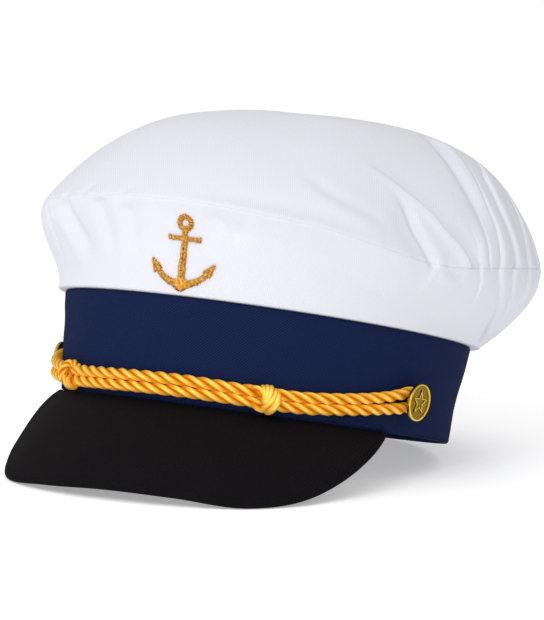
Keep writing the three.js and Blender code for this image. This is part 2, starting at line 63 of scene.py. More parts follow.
# Sizes that the frame shares, in millimetres.
GAP = 0.3
BAND = {"half_width": 89.0, "half_length": 102.0, "height": 46.0, "flare": 1.049, "wall": 2.4}
CLOTH = 1.6
APEX = np.array([8.8, 17.4, 144.9])
PEAK_THICKNESS = 2.4
PEAK_BULGE = 0.8
PEAK_REACH = 66.5
CORD_RADIUS = 2.5
ANCHOR = {"azimuth": 3.7, "foot": 47.7}

# The crown by azimuth: how far it stands past the band's top edge at the hem, a third of
# the way up, two thirds up and at the seam; the seam's height; how full and how steep
# the rise to the apex is.
CROWN_COLUMNS = ("at", "hem", "low", "high", "reach", "seam", "full", "steep")
CROWN = [
    (-180, 3.0, 13.0, 20.0, 22.0, 90.0, 4.2, 0.80),
    (-115, 3.0, 15.0, 22.0, 22.0, 88.0, 3.8, 0.80),
    (-67, 4.2, 7.2, 14.6, 17.4, 83.7, 3.2, 0.86),
    (-35, 2.5, 3.2, 8.8, 13.5, 86.0, 2.6, 0.92),
    (0, 2.0, 3.0, 5.0, 10.5, 86.8, 2.2, 0.89),
    (36, 2.0, 3.2, 4.6, 9.0, 83.2, 2.6, 0.92),
    (73, 2.5, 7.0, 11.0, 13.1, 76.8, 3.4, 0.97),
    (95, 2.8, 12.9, 19.4, 21.0, 83.2, 3.9, 0.96),
    (114, 3.0, 16.9, 25.3, 26.9, 88.0, 4.2, 0.94),
    (180, 3.0, 13.0, 20.0, 22.0, 90.0, 4.2, 0.80),
]

# Knife pleats that cross the seam, from their upper end down: azimuth and level (0 at the
# hem, 1 at the seam, 2 at the apex), how high the flap stands, and how much of the line
# fades in at the top and out at the bottom. The first two have no flap: they only lead the
# mesh along a soft fold.
PLEATS = [
    {"line": [(46.5, 1.47), (54, 1.41), (61.5, 1.34), (64.5, 1.24), (67, 1.14), (68.5, 1.0), (69, 0.9)],
     "flap": 0.0, "notch": 0.0, "fade": (0.3, 0.3)},
    {"line": [(49, 1.5), (54.5, 1.47), (63.5, 1.4), (68.5, 1.35), (73.8, 1.26), (77.5, 1.19), (78.6, 1.1),
              (79, 1.0), (79.5, 0.9)], "flap": 0.0, "notch": 0.0, "fade": (0.3, 0.2)},
    {"line": [(80.5, 1.4), (81.5, 1.3), (82.6, 1.22), (82, 1.1), (81.7, 1.0), (82.5, 0.84), (83.2, 0.6),
              (83.2, 0.4)], "flap": 0.45, "notch": 0.55, "fade": (0.45, 0.45)},
    {"line": [(87.5, 1.4), (86.9, 1.32), (86.3, 1.21), (85.0, 1.03), (85.5, 0.9)],
     "flap": 0.5, "notch": 0.45, "fade": (0.5, 0.3)},
    {"line": [(96.5, 1.62), (95, 1.56), (91.2, 1.38), (91.3, 1.28), (90.3, 1.17), (88.4, 1.01), (90.8, 0.71),
              (93.8, 0.44), (97.8, 0.18), (104, 0.0)], "flap": 1.3, "notch": 0.75, "fade": (0.3, 0.12)},
    {"line": [(110, 1.62), (106, 1.55), (99, 1.46), (97.8, 1.39), (97.5, 1.25), (96.3, 1.11), (94.2, 1.0),
              (95.2, 0.72), (99, 0.41), (104.5, 0.14)], "flap": 1.25, "notch": 0.75, "fade": (0.2, 0.35)},
    {"line": [(116, 1.58), (111.5, 1.42), (108.6, 1.31), (106.3, 1.23), (104, 1.15), (102.8, 1.02),
              (102.8, 0.74), (105.2, 0.5), (109, 0.25)], "flap": 1.15, "notch": 0.7, "fade": (0.35, 0.4)},
    {"line": [(124, 1.56), (118, 1.35), (113.5, 1.15), (112, 1.0), (113, 0.7), (117, 0.25)],
     "flap": 1.1, "notch": 0.7, "fade": (0.3, 0.4)},
    {"line": [(136, 1.5), (129, 1.3), (124.5, 1.12), (123, 1.0), (123.5, 0.7), (127, 0.2)],
     "flap": 1.0, "notch": 0.7, "fade": (0.3, 0.4)},
    {"line": [(149, 1.44), (142, 1.26), (137, 1.1), (135.5, 1.0), (136, 0.7), (139, 0.25)],
     "flap": 0.9, "notch": 0.6, "fade": (0.3, 0.4)},
    {"line": [(163, 1.4), (156, 1.22), (152, 1.08), (151, 1.0), (152, 0.7), (154, 0.3)],
     "flap": 0.7, "notch": 0.5, "fade": (0.3, 0.4)},
    {"line": [(-163, 1.38), (-156, 1.22), (-152, 1.08), (-151, 1.0), (-152, 0.7), (-154, 0.3)],
     "flap": 0.7, "notch": 0.5, "fade": (0.3, 0.4)},
    {"line": [(-149, 1.42), (-142, 1.26), (-137, 1.1), (-135.5, 1.0), (-136, 0.7), (-139, 0.25)],
     "flap": 0.9, "notch": 0.6, "fade": (0.3, 0.4)},
    {"line": [(-136, 1.47), (-129, 1.3), (-124.5, 1.12), (-123, 1.0), (-123.5, 0.7), (-127, 0.2)],
     "flap": 1.0, "notch": 0.7, "fade": (0.3, 0.4)},
    {"line": [(-124, 1.54), (-118, 1.35), (-113.5, 1.15), (-112, 1.0), (-113, 0.7), (-117, 0.25)],
     "flap": 1.1, "notch": 0.7, "fade": (0.3, 0.4)},
    {"line": [(-113, 1.58), (-107.5, 1.38), (-103.5, 1.18), (-101.5, 1.0), (-102.5, 0.7), (-107, 0.2)],
     "flap": 1.15, "notch": 0.7, "fade": (0.3, 0.4)},
    {"line": [(-103, 1.6), (-97.5, 1.38), (-94, 1.18), (-91.5, 1.0), (-93.5, 0.65), (-99, 0.15)],
     "flap": 1.2, "notch": 0.75, "fade": (0.25, 0.35)},
    {"line": [(-90, 1.5), (-86.5, 1.32), (-84, 1.15), (-82, 1.0), (-83, 0.7), (-86, 0.3)],
     "flap": 0.8, "notch": 0.6, "fade": (0.35, 0.4)},
]

# A pleat's section: distance past the fold line in mm, share of the notch, share of the flap.
PLEAT_SECTION = [
    (-7.0, 0.0, 0.0), (-3.2, 0.12, 0.0), (-1.2, 0.35, 0.0), (-0.5, 0.75, 0.0), (0.0, 1.0, 0.0),
    (0.3, 0.6, 0.2), (0.65, 0.1, 0.62), (1.1, 0.0, 0.86), (2.0, 0.0, 1.0), (4.0, 0.0, 0.96),
    (7.0, 0.0, 0.62), (10.0, 0.0, 0.2), (13.0, 0.0, 0.0),
]
PLEAT_COLUMNS_MM = (-1.2, -0.7, -0.35, -0.1, 0.15, 0.4, 0.7, 1.1, 1.7)

# Soft folds: the line, then how far past it in mm, how wide and how high each swell is.
SOFT_FOLDS = [
    {"line": [(45, 1.52), (54.5, 1.47), (63.5, 1.4), (68.5, 1.35), (73.8, 1.26), (77.5, 1.19), (79, 1.1),
              (79.5, 1.0)],
     "swells": [(-2.6, 3.6, 1.7), (0.9, 2.0, -1.7), (5.0, 5.0, -1.5)], "fade": (0.85, 0.12)},
    {"line": [(57, 1.39), (61.5, 1.34), (64, 1.25), (66.5, 1.17), (68, 1.06), (69.5, 0.98)],
     "swells": [(-0.8, 2.6, -2.1), (-7.0, 6.0, -0.7)], "fade": (0.4, 0.15)},
    {"line": [(97, 1.74), (90.5, 1.62), (87.6, 1.51), (87.3, 1.4), (87.3, 1.3), (86.6, 1.2)],
     "swells": [(-1.0, 4.6, -2.3), (5.0, 3.5, 0.7)], "fade": (0.3, 0.4)},
    {"line": [(84, 1.4), (84.5, 1.25), (83.5, 1.1), (83.4, 1.0)], "swells": [(0.0, 2.2, 0.5)],
     "fade": (0.4, 0.3)},
    {"line": [(18, 0.78), (37.5, 0.65), (53, 0.5), (66, 0.38), (78, 0.3), (88, 0.22)],
     "swells": [(0.0, 7.5, -1.5)], "fade": (0.4, 0.3)},
    {"line": [(70, 0.98), (74, 0.86), (78, 0.77)], "swells": [(-3.0, 3.5, 0.5), (2.0, 3.0, -0.6)],
     "fade": (0.2, 0.4)},
    {"line": [(-2, 1.16), (17.5, 1.18), (30, 1.18), (40.5, 1.17), (52, 1.12)],
     "swells": [(0.0, 3.6, -0.75), (-8.0, 4.5, 0.25)], "fade": (0.4, 0.3)},
    {"line": [(26, 1.42), (32.5, 1.37), (41.5, 1.3), (50, 1.27), (57, 1.22)],
     "swells": [(0.0, 3.4, -0.6), (-7.0, 4.0, 0.35)], "fade": (0.4, 0.3)},
    {"line": [(-40, 1.0), (-36.5, 0.78), (-31.5, 0.52), (-26, 0.34)],
     "swells": [(0.0, 5.0, -2.2), (-9.0, 5.0, 0.9)], "fade": (0.15, 0.4)},
    {"line": [(-51, 1.03), (-48.5, 0.85), (-47.5, 0.6), (-48, 0.3)],
     "swells": [(0.0, 1.6, -1.2), (-3.0, 2.8, 0.9), (5, 4, 0.6)], "fade": (0.2, 0.35)},
    {"line": [(-62, 1.1), (-60, 0.85), (-60, 0.5), (-62, 0.2)], "swells": [(0.0, 3.6, -1.0)],
     "fade": (0.3, 0.35)},
    {"line": [(-22.5, 0.98), (-22, 0.86), (-20.5, 0.56), (-20, 0.35)], "swells": [(0.0, 4.5, -1.4)],
     "fade": (0.1, 0.4)},
    {"line": [(-13, 0.95), (-12.5, 0.73), (-12, 0.32)], "swells": [(0.0, 4.0, -1.0)], "fade": (0.2, 0.4)},
    {"line": [(8, 0.93), (14, 0.8), (22, 0.72)], "swells": [(0.0, 4.5, -1.2)], "fade": (0.3, 0.4)},
    {"line": [(-30, 1.0), (-29, 1.1), (-26, 1.22)], "swells": [(0.0, 2.6, -0.6)], "fade": (0.05, 0.5)},
    {"line": [(-14, 1.0), (-14.5, 1.1), (-12, 1.2)], "swells": [(0.0, 2.4, -0.5)], "fade": (0.05, 0.5)},
]

# How folds are measured: about how many mm a degree and a level stand for along a line, the
# points of a line, and how far a fold can reach from it.
MM_PER_STEP = [1.8, 60]
LINE_POINTS = 70
FOLD_REACH_DEGREES, FOLD_REACH_MM = 14, 26

# The seam: about how many mm lie above and below it, the levels within which the cloth's way
# out turns level, the puckers (how many go round the cap, and the phase), where they are
# strongest, how fast they and the groove fade, and the ridge beside it.
MM_ABOVE_SEAM, MM_BELOW_SEAM = 230, 44
LEVEL_OUT = 0.16
PUCKERS = ((31, 0.4), (47, 2.1), (59, 4.0), (83, 1.2))
PUCKERED_AT, PUCKERED_WIDTH = -22, 34
PUCKER_FADE, GROOVE_FADE = 5.5, 0.45
RIDGE = {"high": 0.08, "at": 1.5, "wide": 0.8}

# The levels over which all relief fades in above the hem.
HEM_LEVELS = (-0.02, 0.12)

# Long swells of the cloth: their height, seed, number, greatest length and least length.
CROWN_WAVES = (0.28, 11, 7, 75, 34)
BAND_WAVES = (0.12, 5, 6, 60, 26)

# The lower edge of the peak by azimuth: how far out from the rim and how far down.
PEAK = [
    (-66.5, 1.6, 2.6), (-58, 7.7, 12.3), (-48, 16.9, 28), (-38, 25.4, 36.6), (-28, 35, 43.3),
    (-14, 39.2, 43.5), (0, 38.5, 41.8), (14, 37.8, 41.3), (28, 35.8, 41.3), (38, 29, 36.2),
    (48, 19.2, 26.4), (58, 10.4, 13.6), (66.5, 1.6, 2.6),
]

# The cord by azimuth: height of the middle of its two strands, half their distance.
CORD = [
    (-79, 16, 4.1), (-70, 13.8, 3.4), (-58, 10.8, 2.9), (-46, 8.3, 2.7), (-34.5, 6.9, 2.65),
    (-20, 6.8, 2.65), (-4, 7.3, 2.75), (10, 7.5, 2.75), (20, 7.2, 2.65), (29.5, 7, 2.65),
    (40, 7.3, 2.65), (52, 9.5, 2.7), (62, 12.2, 3), (67, 13.9, 3.4), (72, 16, 4.1),
]
KNOTS = {"knot_right": -34.5, "knot_left": 29.5}
BUTTONS = {"button_right": -79, "button_left": 72}
BUTTON_TURN = 6

# Where the band's face swells or draws in: azimuth, height, how wide, how tall, how far.
BAND_SWELLS = [
    (116, 18, 16, 13, -1.2), (100, 40, 14, 8, -0.3), (-66, 39, 9, 6, 0.5), (-66, 32, 9, 5, -0.7),
    (-70, 24, 8, 6, 0.6), (-30, 30, 22, 10, -0.35), (28, 34, 26, 9, 0.3), (60, 22, 18, 10, -0.3),
    (150, 28, 24, 14, -0.6), (-110, 24, 20, 13, -0.9), (-145, 30, 22, 12, 0.5), (178, 34, 16, 9, -0.4),
]

# The camera in the cap's frame: angles in degrees, distance in mm, focal length in pixels,
# and where in the picture of 544 by 620 pixels the middle of the rim lies.
CAMERA = {"azimuth": 25.0, "elevation": -0.96, "roll": 7.871, "distance": 1300.0, "focal": 2766.3}
PICTURE = (544, 620)
RIM_MIDDLE = (256.41, 417.45)
SENSOR = 36.0


# Curves and points in the cap's frame.
def smooth_curve(x, y, wraps=False):
    """A smooth curve through the values y at the rising positions x."""
    x, y = np.asarray(x, float), np.asarray(y, float)
    last = len(x) - 1
    width = np.diff(x)
    step = np.diff(y) / width
    before = np.array([last - 1 if wraps else 0] + list(range(last)))
    after = np.array(list(range(last)) + [0 if wraps else last - 1])
    slope = (step[before] * width[after] + step[after] * width[before]) / (width[before] + width[after])

    def value(position):
        at = np.asarray(position, float)
        if wraps:
            at = (at - x[0]) % 360 + x[0]
        i = np.clip(np.searchsorted(x, at) - 1, 0, last - 1)
        t = (at - x[i]) / width[i]
        s = t * t * (3 - 2 * t)
        bend = slope[i] * t * (1 - t) ** 2 + slope[i + 1] * t * t * (t - 1)
        return y[i] * (1 - s) + y[i + 1] * s + bend * width[i]

    return value


def table_curve(table, column, wraps=False):
    return smooth_curve([row[0] for row in table], [row[column] for row in table], wraps)


crown_curve = {name: table_curve(CROWN, i, True) for i, name in enumerate(CROWN_COLUMNS) if i}
peak_out, peak_drop = table_curve(PEAK, 1), table_curve(PEAK, 2)
cord_middle, cord_apart = table_curve(CORD, 1), table_curve(CORD, 2)


def smoothstep(low, high, value):
    t = np.clip((np.asarray(value, float) - low) / (high - low), 0, 1)
    return t * t * (3 - 2 * t)


def unit(vectors):
    return vectors / (np.linalg.norm(vectors, axis=-1, keepdims=True) + 1e-12)


def turned_from(azimuth, middle):
    """How far an azimuth is from another one, from -180 to 180."""
    return (azimuth - middle + 180) % 360 - 180


def band_point(azimuth, height, off=0.0):
    azimuth, height, off = np.broadcast_arrays(*(np.asarray(v, float) for v in (azimuth, height, off)))
    swell = 1 + (BAND["flare"] - 1) * height / BAND["height"]
    a = np.radians(azimuth)
    x = (BAND["half_width"] * swell + off) * np.sin(a)
    y = -(BAND["half_length"] * swell + off) * np.cos(a)
    return np.stack([x, y, height], -1)


def crown_base(azimuth, level):
    """The crown's outer face without its folds."""
    azimuth, level = np.broadcast_arrays(np.asarray(azimuth, float), np.asarray(level, float))
    c = {name: curve(azimuth) for name, curve in crown_curve.items()}
    t = np.minimum(level, 1.0)
    third, two_thirds = t - 1 / 3, t - 2 / 3
    off = (-4.5 * c["hem"] * third * two_thirds * (t - 1) + 13.5 * c["low"] * t * two_thirds * (t - 1)
           - 13.5 * c["high"] * t * third * (t - 1) + 4.5 * c["reach"] * t * third * two_thirds)
    point = band_point(azimuth, BAND["height"], off)
    point[..., 2] = BAND["height"] + (c["seam"] - BAND["height"]) * t
    inward = np.clip(level - 1, 0, 1) ** 2
    rise = (1 - (1 - inward) ** c["full"]) ** c["steep"]
    point[..., :2] += (APEX[:2] - point[..., :2]) * inward[..., None]
    point[..., 2] += (APEX[2] - c["seam"]) * rise
    return point


def crown_out(azimuth, level):
    """The way out of the cloth: level at the seam, so that the panels meet edge to edge."""
    step = 0.004
    up = np.minimum(level + step, 2)
    down = np.where((level - step < 1) & (level > 1), 1, level - step)
    along = crown_base(azimuth, up) - crown_base(azimuth, down)
    across = crown_base(azimuth + 0.5, level) - crown_base(azimuth - 0.5, level)
    a = np.radians(azimuth)
    flat = np.stack([np.sin(a), -np.cos(a), 0 * a], -1)
    near = (1 - smoothstep(0, LEVEL_OUT, abs(level - 1)))[..., None]
    return unit(unit(np.cross(across, along)) * (1 - near) + flat * near)


def run_along(points):
    """How far along its line each point lies, for one line or for many side by side."""
    steps = np.linalg.norm(np.diff(points, axis=0), axis=-1)
    return np.concatenate([np.zeros((1, *steps.shape[1:])), np.cumsum(steps, axis=0)])


class FoldLine:
    """A fold's line on the crown, with the way across it at each of its points."""

    def __init__(self, line, fade):
        path = np.array(line, float)
        at = run_along(path * MM_PER_STEP)
        t = np.linspace(0, at[-1], LINE_POINTS)
        self.azimuth = smooth_curve(at, path[:, 0])(t)
        self.level = smooth_curve(at, path[:, 1])(t)
        self.points = crown_base(self.azimuth, self.level)
        self.ahead = unit(np.gradient(self.points, axis=0))
        self.across = unit(np.cross(crown_out(self.azimuth, self.level), self.ahead))
        self.spacing = np.linalg.norm(np.diff(self.points, axis=0), axis=1).mean()
        self.fade = fade

    def measure(self, azimuth, base):
        """Which points lie near, how far past the line each is, and how strong it is there."""
        reach = np.ptp(self.azimuth) / 2 + FOLD_REACH_DEGREES
        near = np.abs(turned_from(azimuth, self.azimuth.mean())) < reach
        points = base[near]
        away = ((points[:, None] - self.points[None]) ** 2).sum(-1)
        i = away.argmin(1)
        offset = points - self.points[i]
        along = np.clip((offset * self.ahead[i]).sum(-1) / self.spacing, -0.5, 0.5)
        t = (i + along) / (len(self.points) - 1)
        strength = smoothstep(0, self.fade[0], t) * smoothstep(0, self.fade[1], 1 - t)
        strength = strength * (np.sqrt(away[np.arange(len(i)), i]) < FOLD_REACH_MM)
        return near, (offset * self.across[i]).sum(-1), strength


pleat_lines, soft_lines = ([FoldLine(fold["line"], fold["fade"]) for fold in folds]
                           for folds in (PLEATS, SOFT_FOLDS))


def from_seam(level):
    """Roughly how far a level lies from the seam, in mm."""
    return np.where(level > 1, MM_ABOVE_SEAM * (level - 1) ** 2, MM_BELOW_SEAM * (1 - level))


def waves(points, height, seed, count, longest, shortest):
    """Seeded long swells through space, up to about so high, in mm."""
    rng = np.random.default_rng(seed)
    total = 0
    for _ in range(count):
        way = unit(rng.normal(size=3))
        length = rng.uniform(shortest, longest)
        total = total + np.sin(points @ way * (2 * math.pi / length) + rng.uniform(0, 2 * math.pi))
    return height * (total / math.sqrt(count))


def crown_relief(azimuth, level, base, settings):
    """How far folds, pleats and the seam push the cloth out, in mm."""
    relief = waves(base, *CROWN_WAVES)
    for fold, line in zip(SOFT_FOLDS, soft_lines):
        near, past, strength = line.measure(azimuth, base)
        swell = sum(high * np.exp(-(((past - at) / wide) ** 2)) for at, wide, high in fold["swells"])
        relief[near] += swell * strength * settings.fold_depth
    section = np.array(PLEAT_SECTION)
    for pleat, line in zip(PLEATS, pleat_lines):
        if not pleat["flap"]:
            continue
        side = math.copysign(1, line.azimuth.mean())
        near, past, strength = line.measure(azimuth, base)
        notch = np.interp(side * past, section[:, 0], section[:, 1]) * pleat["notch"]
        flap = np.interp(side * past, section[:, 0], section[:, 2]) * pleat["flap"]
        relief[near] += (flap - notch) * strength * settings.pleat_depth
    a = np.radians(azimuth)
    away = from_seam(level)
    pucker = sum(np.sin(n * a + phase) for n, phase in PUCKERS)
    soft = 0.35 + 0.65 * np.exp(-((turned_from(azimuth, PUCKERED_AT) / PUCKERED_WIDTH) ** 2))
    relief += settings.pucker * soft * pucker * np.exp(-away / PUCKER_FADE)
    relief -= settings.seam_depth * np.exp(-away / GROOVE_FADE)
    relief += RIDGE["high"] * np.exp(-(((away - RIDGE["at"]) / RIDGE["wide"]) ** 2))
    return relief * smoothstep(*HEM_LEVELS, level)


def crown_point(azimuth, level, depth, settings):
    azimuth, level = np.broadcast_arrays(np.asarray(azimuth, float), np.asarray(level, float))
    base = crown_base(azimuth, level)
    relief = crown_relief(azimuth, level, base, settings)
    return base + crown_out(azimuth, level) * (relief - depth)[..., None]


def to_row(points):
    """Millimetres in the cap's frame to metres in the row frame, flat where the cap rests."""
    turned = np.asarray(points, float) @ REST_TURN.T + REST_AT
    turned[..., 2] = np.maximum(turned[..., 2], 0)
    return turned * 0.001


def band_axes(azimuth, height, turn=0.0):
    """A foot on the band's face, with the ways round it, up it and out of it."""
    foot = band_point(azimuth, height)
    up = unit(band_point(azimuth, height + 1) - foot)
    along = band_point(azimuth + 0.5, height) - band_point(azimuth - 0.5, height)
    out = unit(np.cross(along, up))
    out = np.array(Matrix.Rotation(math.radians(turn), 3, Vector(up)) @ Vector(out))
    return foot, np.cross(up, out), up, out


# Making meshes. The cloth map carries the weaves, and one unit of it is so many mm of cloth.
MAP_MM = 100


def cone_volume(points, corners):
    """Six times the volume between triangles and the origin, signed by the way they face."""
    first, second, third = (points[i] for i in np.transpose(corners))
    return (np.cross(first, second) * third).sum()


def with_last(columns):
    """Repeats the first column at the end, where a ring closes."""
    return np.concatenate([columns, columns[:, :1]], axis=1)


def ring_cloth(ring, rise):
    """The cloth map of closed rings: the way round one of them, and how far each point rises."""
    run = run_along(np.concatenate([ring, ring[:1]]))
    across = np.broadcast_to(run, (len(rise), len(run)))
    cloth = np.stack([across, with_last(rise)], -1) / MAP_MM
    return np.concatenate([cloth, cloth[:1]])


class Weave:
    """Gathers the points, faces and cloth map of one piece."""

    def __init__(self):
        self.points, self.faces, self.maps, self.count = [], [], [], 0

    def tube(self, sections, closed, cloth, tips=None):
        """A tube through closed sections. cloth has one more column (and row, if closed)."""
        along, around = sections.shape[:2]
        rows = np.arange(along if closed else along - 1)
        r, c = (g.ravel() for g in np.meshgrid(rows, np.arange(around), indexing="ij"))
        corners = [(r, c), (r, c + 1), (r + 1, c + 1), (r + 1, c)]
        faces = np.stack([(i % along) * around + j % around for i, j in corners], 1)
        maps = np.stack([cloth[i, j] for i, j in corners], 1).tolist()
        points = sections.reshape(-1, 3)
        volume = cone_volume(points, faces[:, :3]) + cone_volume(points, faces[:, [0, 2, 3]])
        faces = faces.tolist()
        if not closed:
            ends = [sections[0].mean(0), sections[-1].mean(0)] if tips is None else tips
            points = np.concatenate([points, ends])
            caps = []
            for end, row in enumerate((0, along - 1)):
                for j in range(around):
                    pair = [j, j + 1] if end else [j + 1, j]
                    caps.append([row * around + k % around for k in pair] + [along * around + end])
                    maps.append([*cloth[row, pair].tolist(), cloth[row, :-1].mean(0).tolist()])
            volume += cone_volume(points, caps)
            faces += caps
        if volume < 0:
            faces = [face[::-1] for face in faces]
            maps = [corner[::-1] for corner in maps]
        self.points.append(points)
        self.faces += [[i + self.count for i in face] for face in faces]
        self.maps += maps
        self.count += len(points)

    def make(self, name):
        mesh = bpy.data.meshes.new(name)
        mesh.from_pydata(to_row(np.concatenate(self.points)).tolist(), [], self.faces)
        layer = mesh.uv_layers.new(name="cloth")
        layer.data.foreach_set("uv", np.array([uv for corner in self.maps for uv in corner]).ravel())
        mesh.shade_smooth()
        mesh.validate()
        piece = bpy.data.objects.new(name, mesh)
        bpy.context.scene.collection.objects.link(piece)
        return piece


def dress(piece, material, node):
    """Gives a piece its finish, and hands it to the frame in the place of a node."""
    piece.data.materials.clear()
    piece.data.materials.append(material)
    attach(piece, "root")
    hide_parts(node)


def only(piece):
    """Selects one object and makes it the active one."""
    bpy.ops.object.select_all(action="DESELECT")
    if piece is not None:
        piece.select_set(True)
        bpy.context.view_layer.objects.active = piece


# Finishes.
def add_node(tree, kind, inputs, **settings):
    """A new node whose inputs are set, or linked where they are outputs of other nodes."""
    node = tree.nodes.new(kind)
    for key, value in settings.items():
        setattr(node, key, value)
    for key, value in inputs.items():
        if isinstance(value, bpy.types.NodeSocket):
            tree.links.new(value, node.inputs[key])
        else:
            node.inputs[key].default_value = value
    return node


class Finish:
    """A material in the making, with short calls for its nodes."""

    def __init__(self, name, **sockets):
        self.material = bpy.data.materials.new(name)
        self.material.use_nodes = True
        self.tree = self.material.node_tree
        self.shader = self.tree.nodes["Principled BSDF"]
        for socket, value in sockets.items():
            self.shader.inputs[socket.replace("_", " ")].default_value = value
        self.places = self.tree.nodes.new("ShaderNodeTexCoord")

    def node(self, kind, inputs, **settings):
        return add_node(self.tree, kind, inputs, **settings)

    def math(self, operation, *values):
        return self.node("ShaderNodeMath", dict(enumerate(values)), operation=operation).outputs[0]

    def cloth_lines(self, pitch, lean, wobble):
        """Fine lines on the cloth map, from 0 to 1. pitch is in mm, lean in degrees."""
        turns = 2 * math.pi * MAP_MM / pitch
        a = math.radians(lean)
        way = (turns * math.cos(a), turns * math.sin(a), 0)
        inputs = {0: self.places.outputs["UV"], 1: way}
        phase = self.node("ShaderNodeVectorMath", inputs, operation="DOT_PRODUCT").outputs["Value"]
        return self.math("MULTIPLY_ADD", self.math("SINE", self.math("ADD", phase, wobble)), 0.5, 0.5)

    def noise(self, scale, detail, stretch=None):
        place = self.places.outputs["Object"]
        if stretch is not None:
            place = self.node("ShaderNodeMapping", {"Vector": place, "Scale": stretch}).outputs[0]
        inputs = {"Vector": place, "Scale": scale, "Detail": detail}
        return self.node("ShaderNodeTexNoise", inputs).outputs["Fac"]

    def blend(self, share, low, high):
        mix = self.node("ShaderNodeMix", {}, data_type="RGBA")
        self.tree.links.new(share, mix.inputs["Factor"])
        for socket, colour in (("A", low), ("B", high)):
            target = [s for s in mix.inputs if s.name == socket and s.type == "RGBA"][0]
            if isinstance(colour, bpy.types.NodeSocket):
                self.tree.links.new(colour, target)
            else:
                target.default_value = (*colour, 1.0)
        return [s for s in mix.outputs if s.type == "RGBA"][0]

    def bump(self, height, distance, strength=1.0):
        """distance is in mm."""
        inputs = {"Height": height, "Distance": distance * 0.001, "Strength": strength}
        bump = self.node("ShaderNodeBump", inputs)
        self.tree.links.new(bump.outputs[0], self.shader.inputs["Normal"])

    def link(self, output, socket):
        self.tree.links.new(output, self.shader.inputs[socket])


def shaded(colour, factor):
    return tuple(min(1.0, c * factor) for c in colour)


# How each cloth is woven: the scale and reach of the lines' wander; the yarns' pitch against
# the lines', their lean against them and their height; the height of slubs; the tones
# between and on the lines; the patches' scale, strength and tone; and the shader's values.
WEAVES = {
    "white_twill": {
        "wander": (260, 2.2), "yarns": (0.62, 90, 0.35), "slubs": 0.5, "tones": (0.955, 1.02),
        "patches": (22, 0.14, 0.9),
        "shader": {"Roughness": 0.9, "Specular_IOR_Level": 0.25, "Sheen_Weight": 0.12,
                   "Sheen_Roughness": 0.6}},
    "navy_twill": {
        "wander": (300, 2.4), "yarns": (0.5, 78, 0.4), "tones": (0.62, 2.1),
        "patches": (30, 0.35, 0.7), "shader": {"Roughness": 0.9, "Specular_IOR_Level": 0.05}},
    "black_twill": {
        "wander": (320, 2.0), "yarns": (0.6, 84, 0.35), "tones": (0.45, 1.7),
        "patches": (26, 0.4, 0.7), "shader": {"Roughness": 0.8, "Specular_IOR_Level": 0.07}},
}
SLUB_STRETCH = (2600, 2600, 500)
# The bright line is a painted highlight on the crest of a ply or stitch, with painted shade in the grooves
# beside it.
PEAK_OF_SINE = math.pi / 2  # puts the bright line of a ply or stitch on its crest


def woven(name, colour, pitch, lean, depth, spotted=False):
    """Cloth of fine lines with yarns across them. If spotted, only their crossings are pale."""
    weave = WEAVES[name]
    finish = Finish(name, **weave["shader"])
    scale, reach = weave["wander"]
    wobble = finish.math("MULTIPLY", finish.noise(scale, 3), reach)
    share, turn, high = weave["yarns"]
    lines = finish.cloth_lines(pitch, lean, wobble)
    yarns = finish.cloth_lines(pitch * share, lean + turn, wobble)
    height = lines
    if "slubs" in weave:
        height = finish.math("MULTIPLY_ADD", finish.noise(1, 2, SLUB_STRETCH), weave["slubs"], lines)
    finish.bump(finish.math("MULTIPLY_ADD", yarns, high, height), depth)
    dark, pale = (shaded(colour, tone) for tone in weave["tones"])
    tone = finish.blend(finish.math("MULTIPLY", lines, yarns) if spotted else lines, dark, pale)
    scale, strength, faded = weave["patches"]
    patch = finish.math("MULTIPLY", finish.noise(scale, 3), strength)
    finish.link(finish.blend(patch, tone, shaded(colour, faded)), "Base Color")
    return finish.material


def white_twill(settings, lean):
    return woven("white_twill", settings.colour, settings.weave_pitch, lean, settings.weave_depth)


def navy_twill(settings):
    return woven("navy_twill", settings.colour, settings.twill_pitch, settings.twill_lean, 0.14, True)


def black_twill(settings):
    return woven("black_twill", settings.colour, settings.rib_pitch, 0, 0.12)


def gold_cord(settings):
    # The cord glows faintly in orange: painted light, as the cord is no lamp.
    finish = Finish("gold_cord", Roughness=0.28, Specular_IOR_Level=1.0,
                    Specular_Tint=(1.0, 0.72, 0.25, 1.0), Metallic=0.3,
                    Emission_Color=(1.0, 0.4, 0.004, 1.0), Emission_Strength=0.15)
    wobble = finish.math("MULTIPLY", finish.noise(900, 2), 5.0)
    fibre = finish.cloth_lines(settings.fibre_pitch, settings.fibre_lean, wobble)
    fine = finish.noise(1, 3, (5200, 5200, 5200))
    finish.bump(finish.math("MULTIPLY_ADD", fine, 0.5, fibre), 0.06)
    # Painted light on each ply: a painted highlight along its crest, streaked by its fibres, and painted
    # shade on its flanks and in the grooves between plies.
    crest_painted_light = finish.cloth_lines(PLY_GIRTH, 0, PEAK_OF_SINE)
    colour = tuple(settings.colour)
    # The first colour here is the painted groove shade, the second the painted highlight.
    groove_shade, pale = (colour[0] * 0.5, colour[1] * 0.1, 0.0004), (1.0, 0.82, 0.2)
    shaded_flank = finish.blend(finish.math("POWER", crest_painted_light, 1.9), groove_shade, colour)
    gleam = finish.math("MULTIPLY_ADD", fibre, 0.5, 0.5)
    top = finish.math("MULTIPLY", finish.math("POWER", crest_painted_light, 9.0), gleam)
    finish.link(finish.blend(top, shaded_flank, pale), "Base Color")
    return finish.material


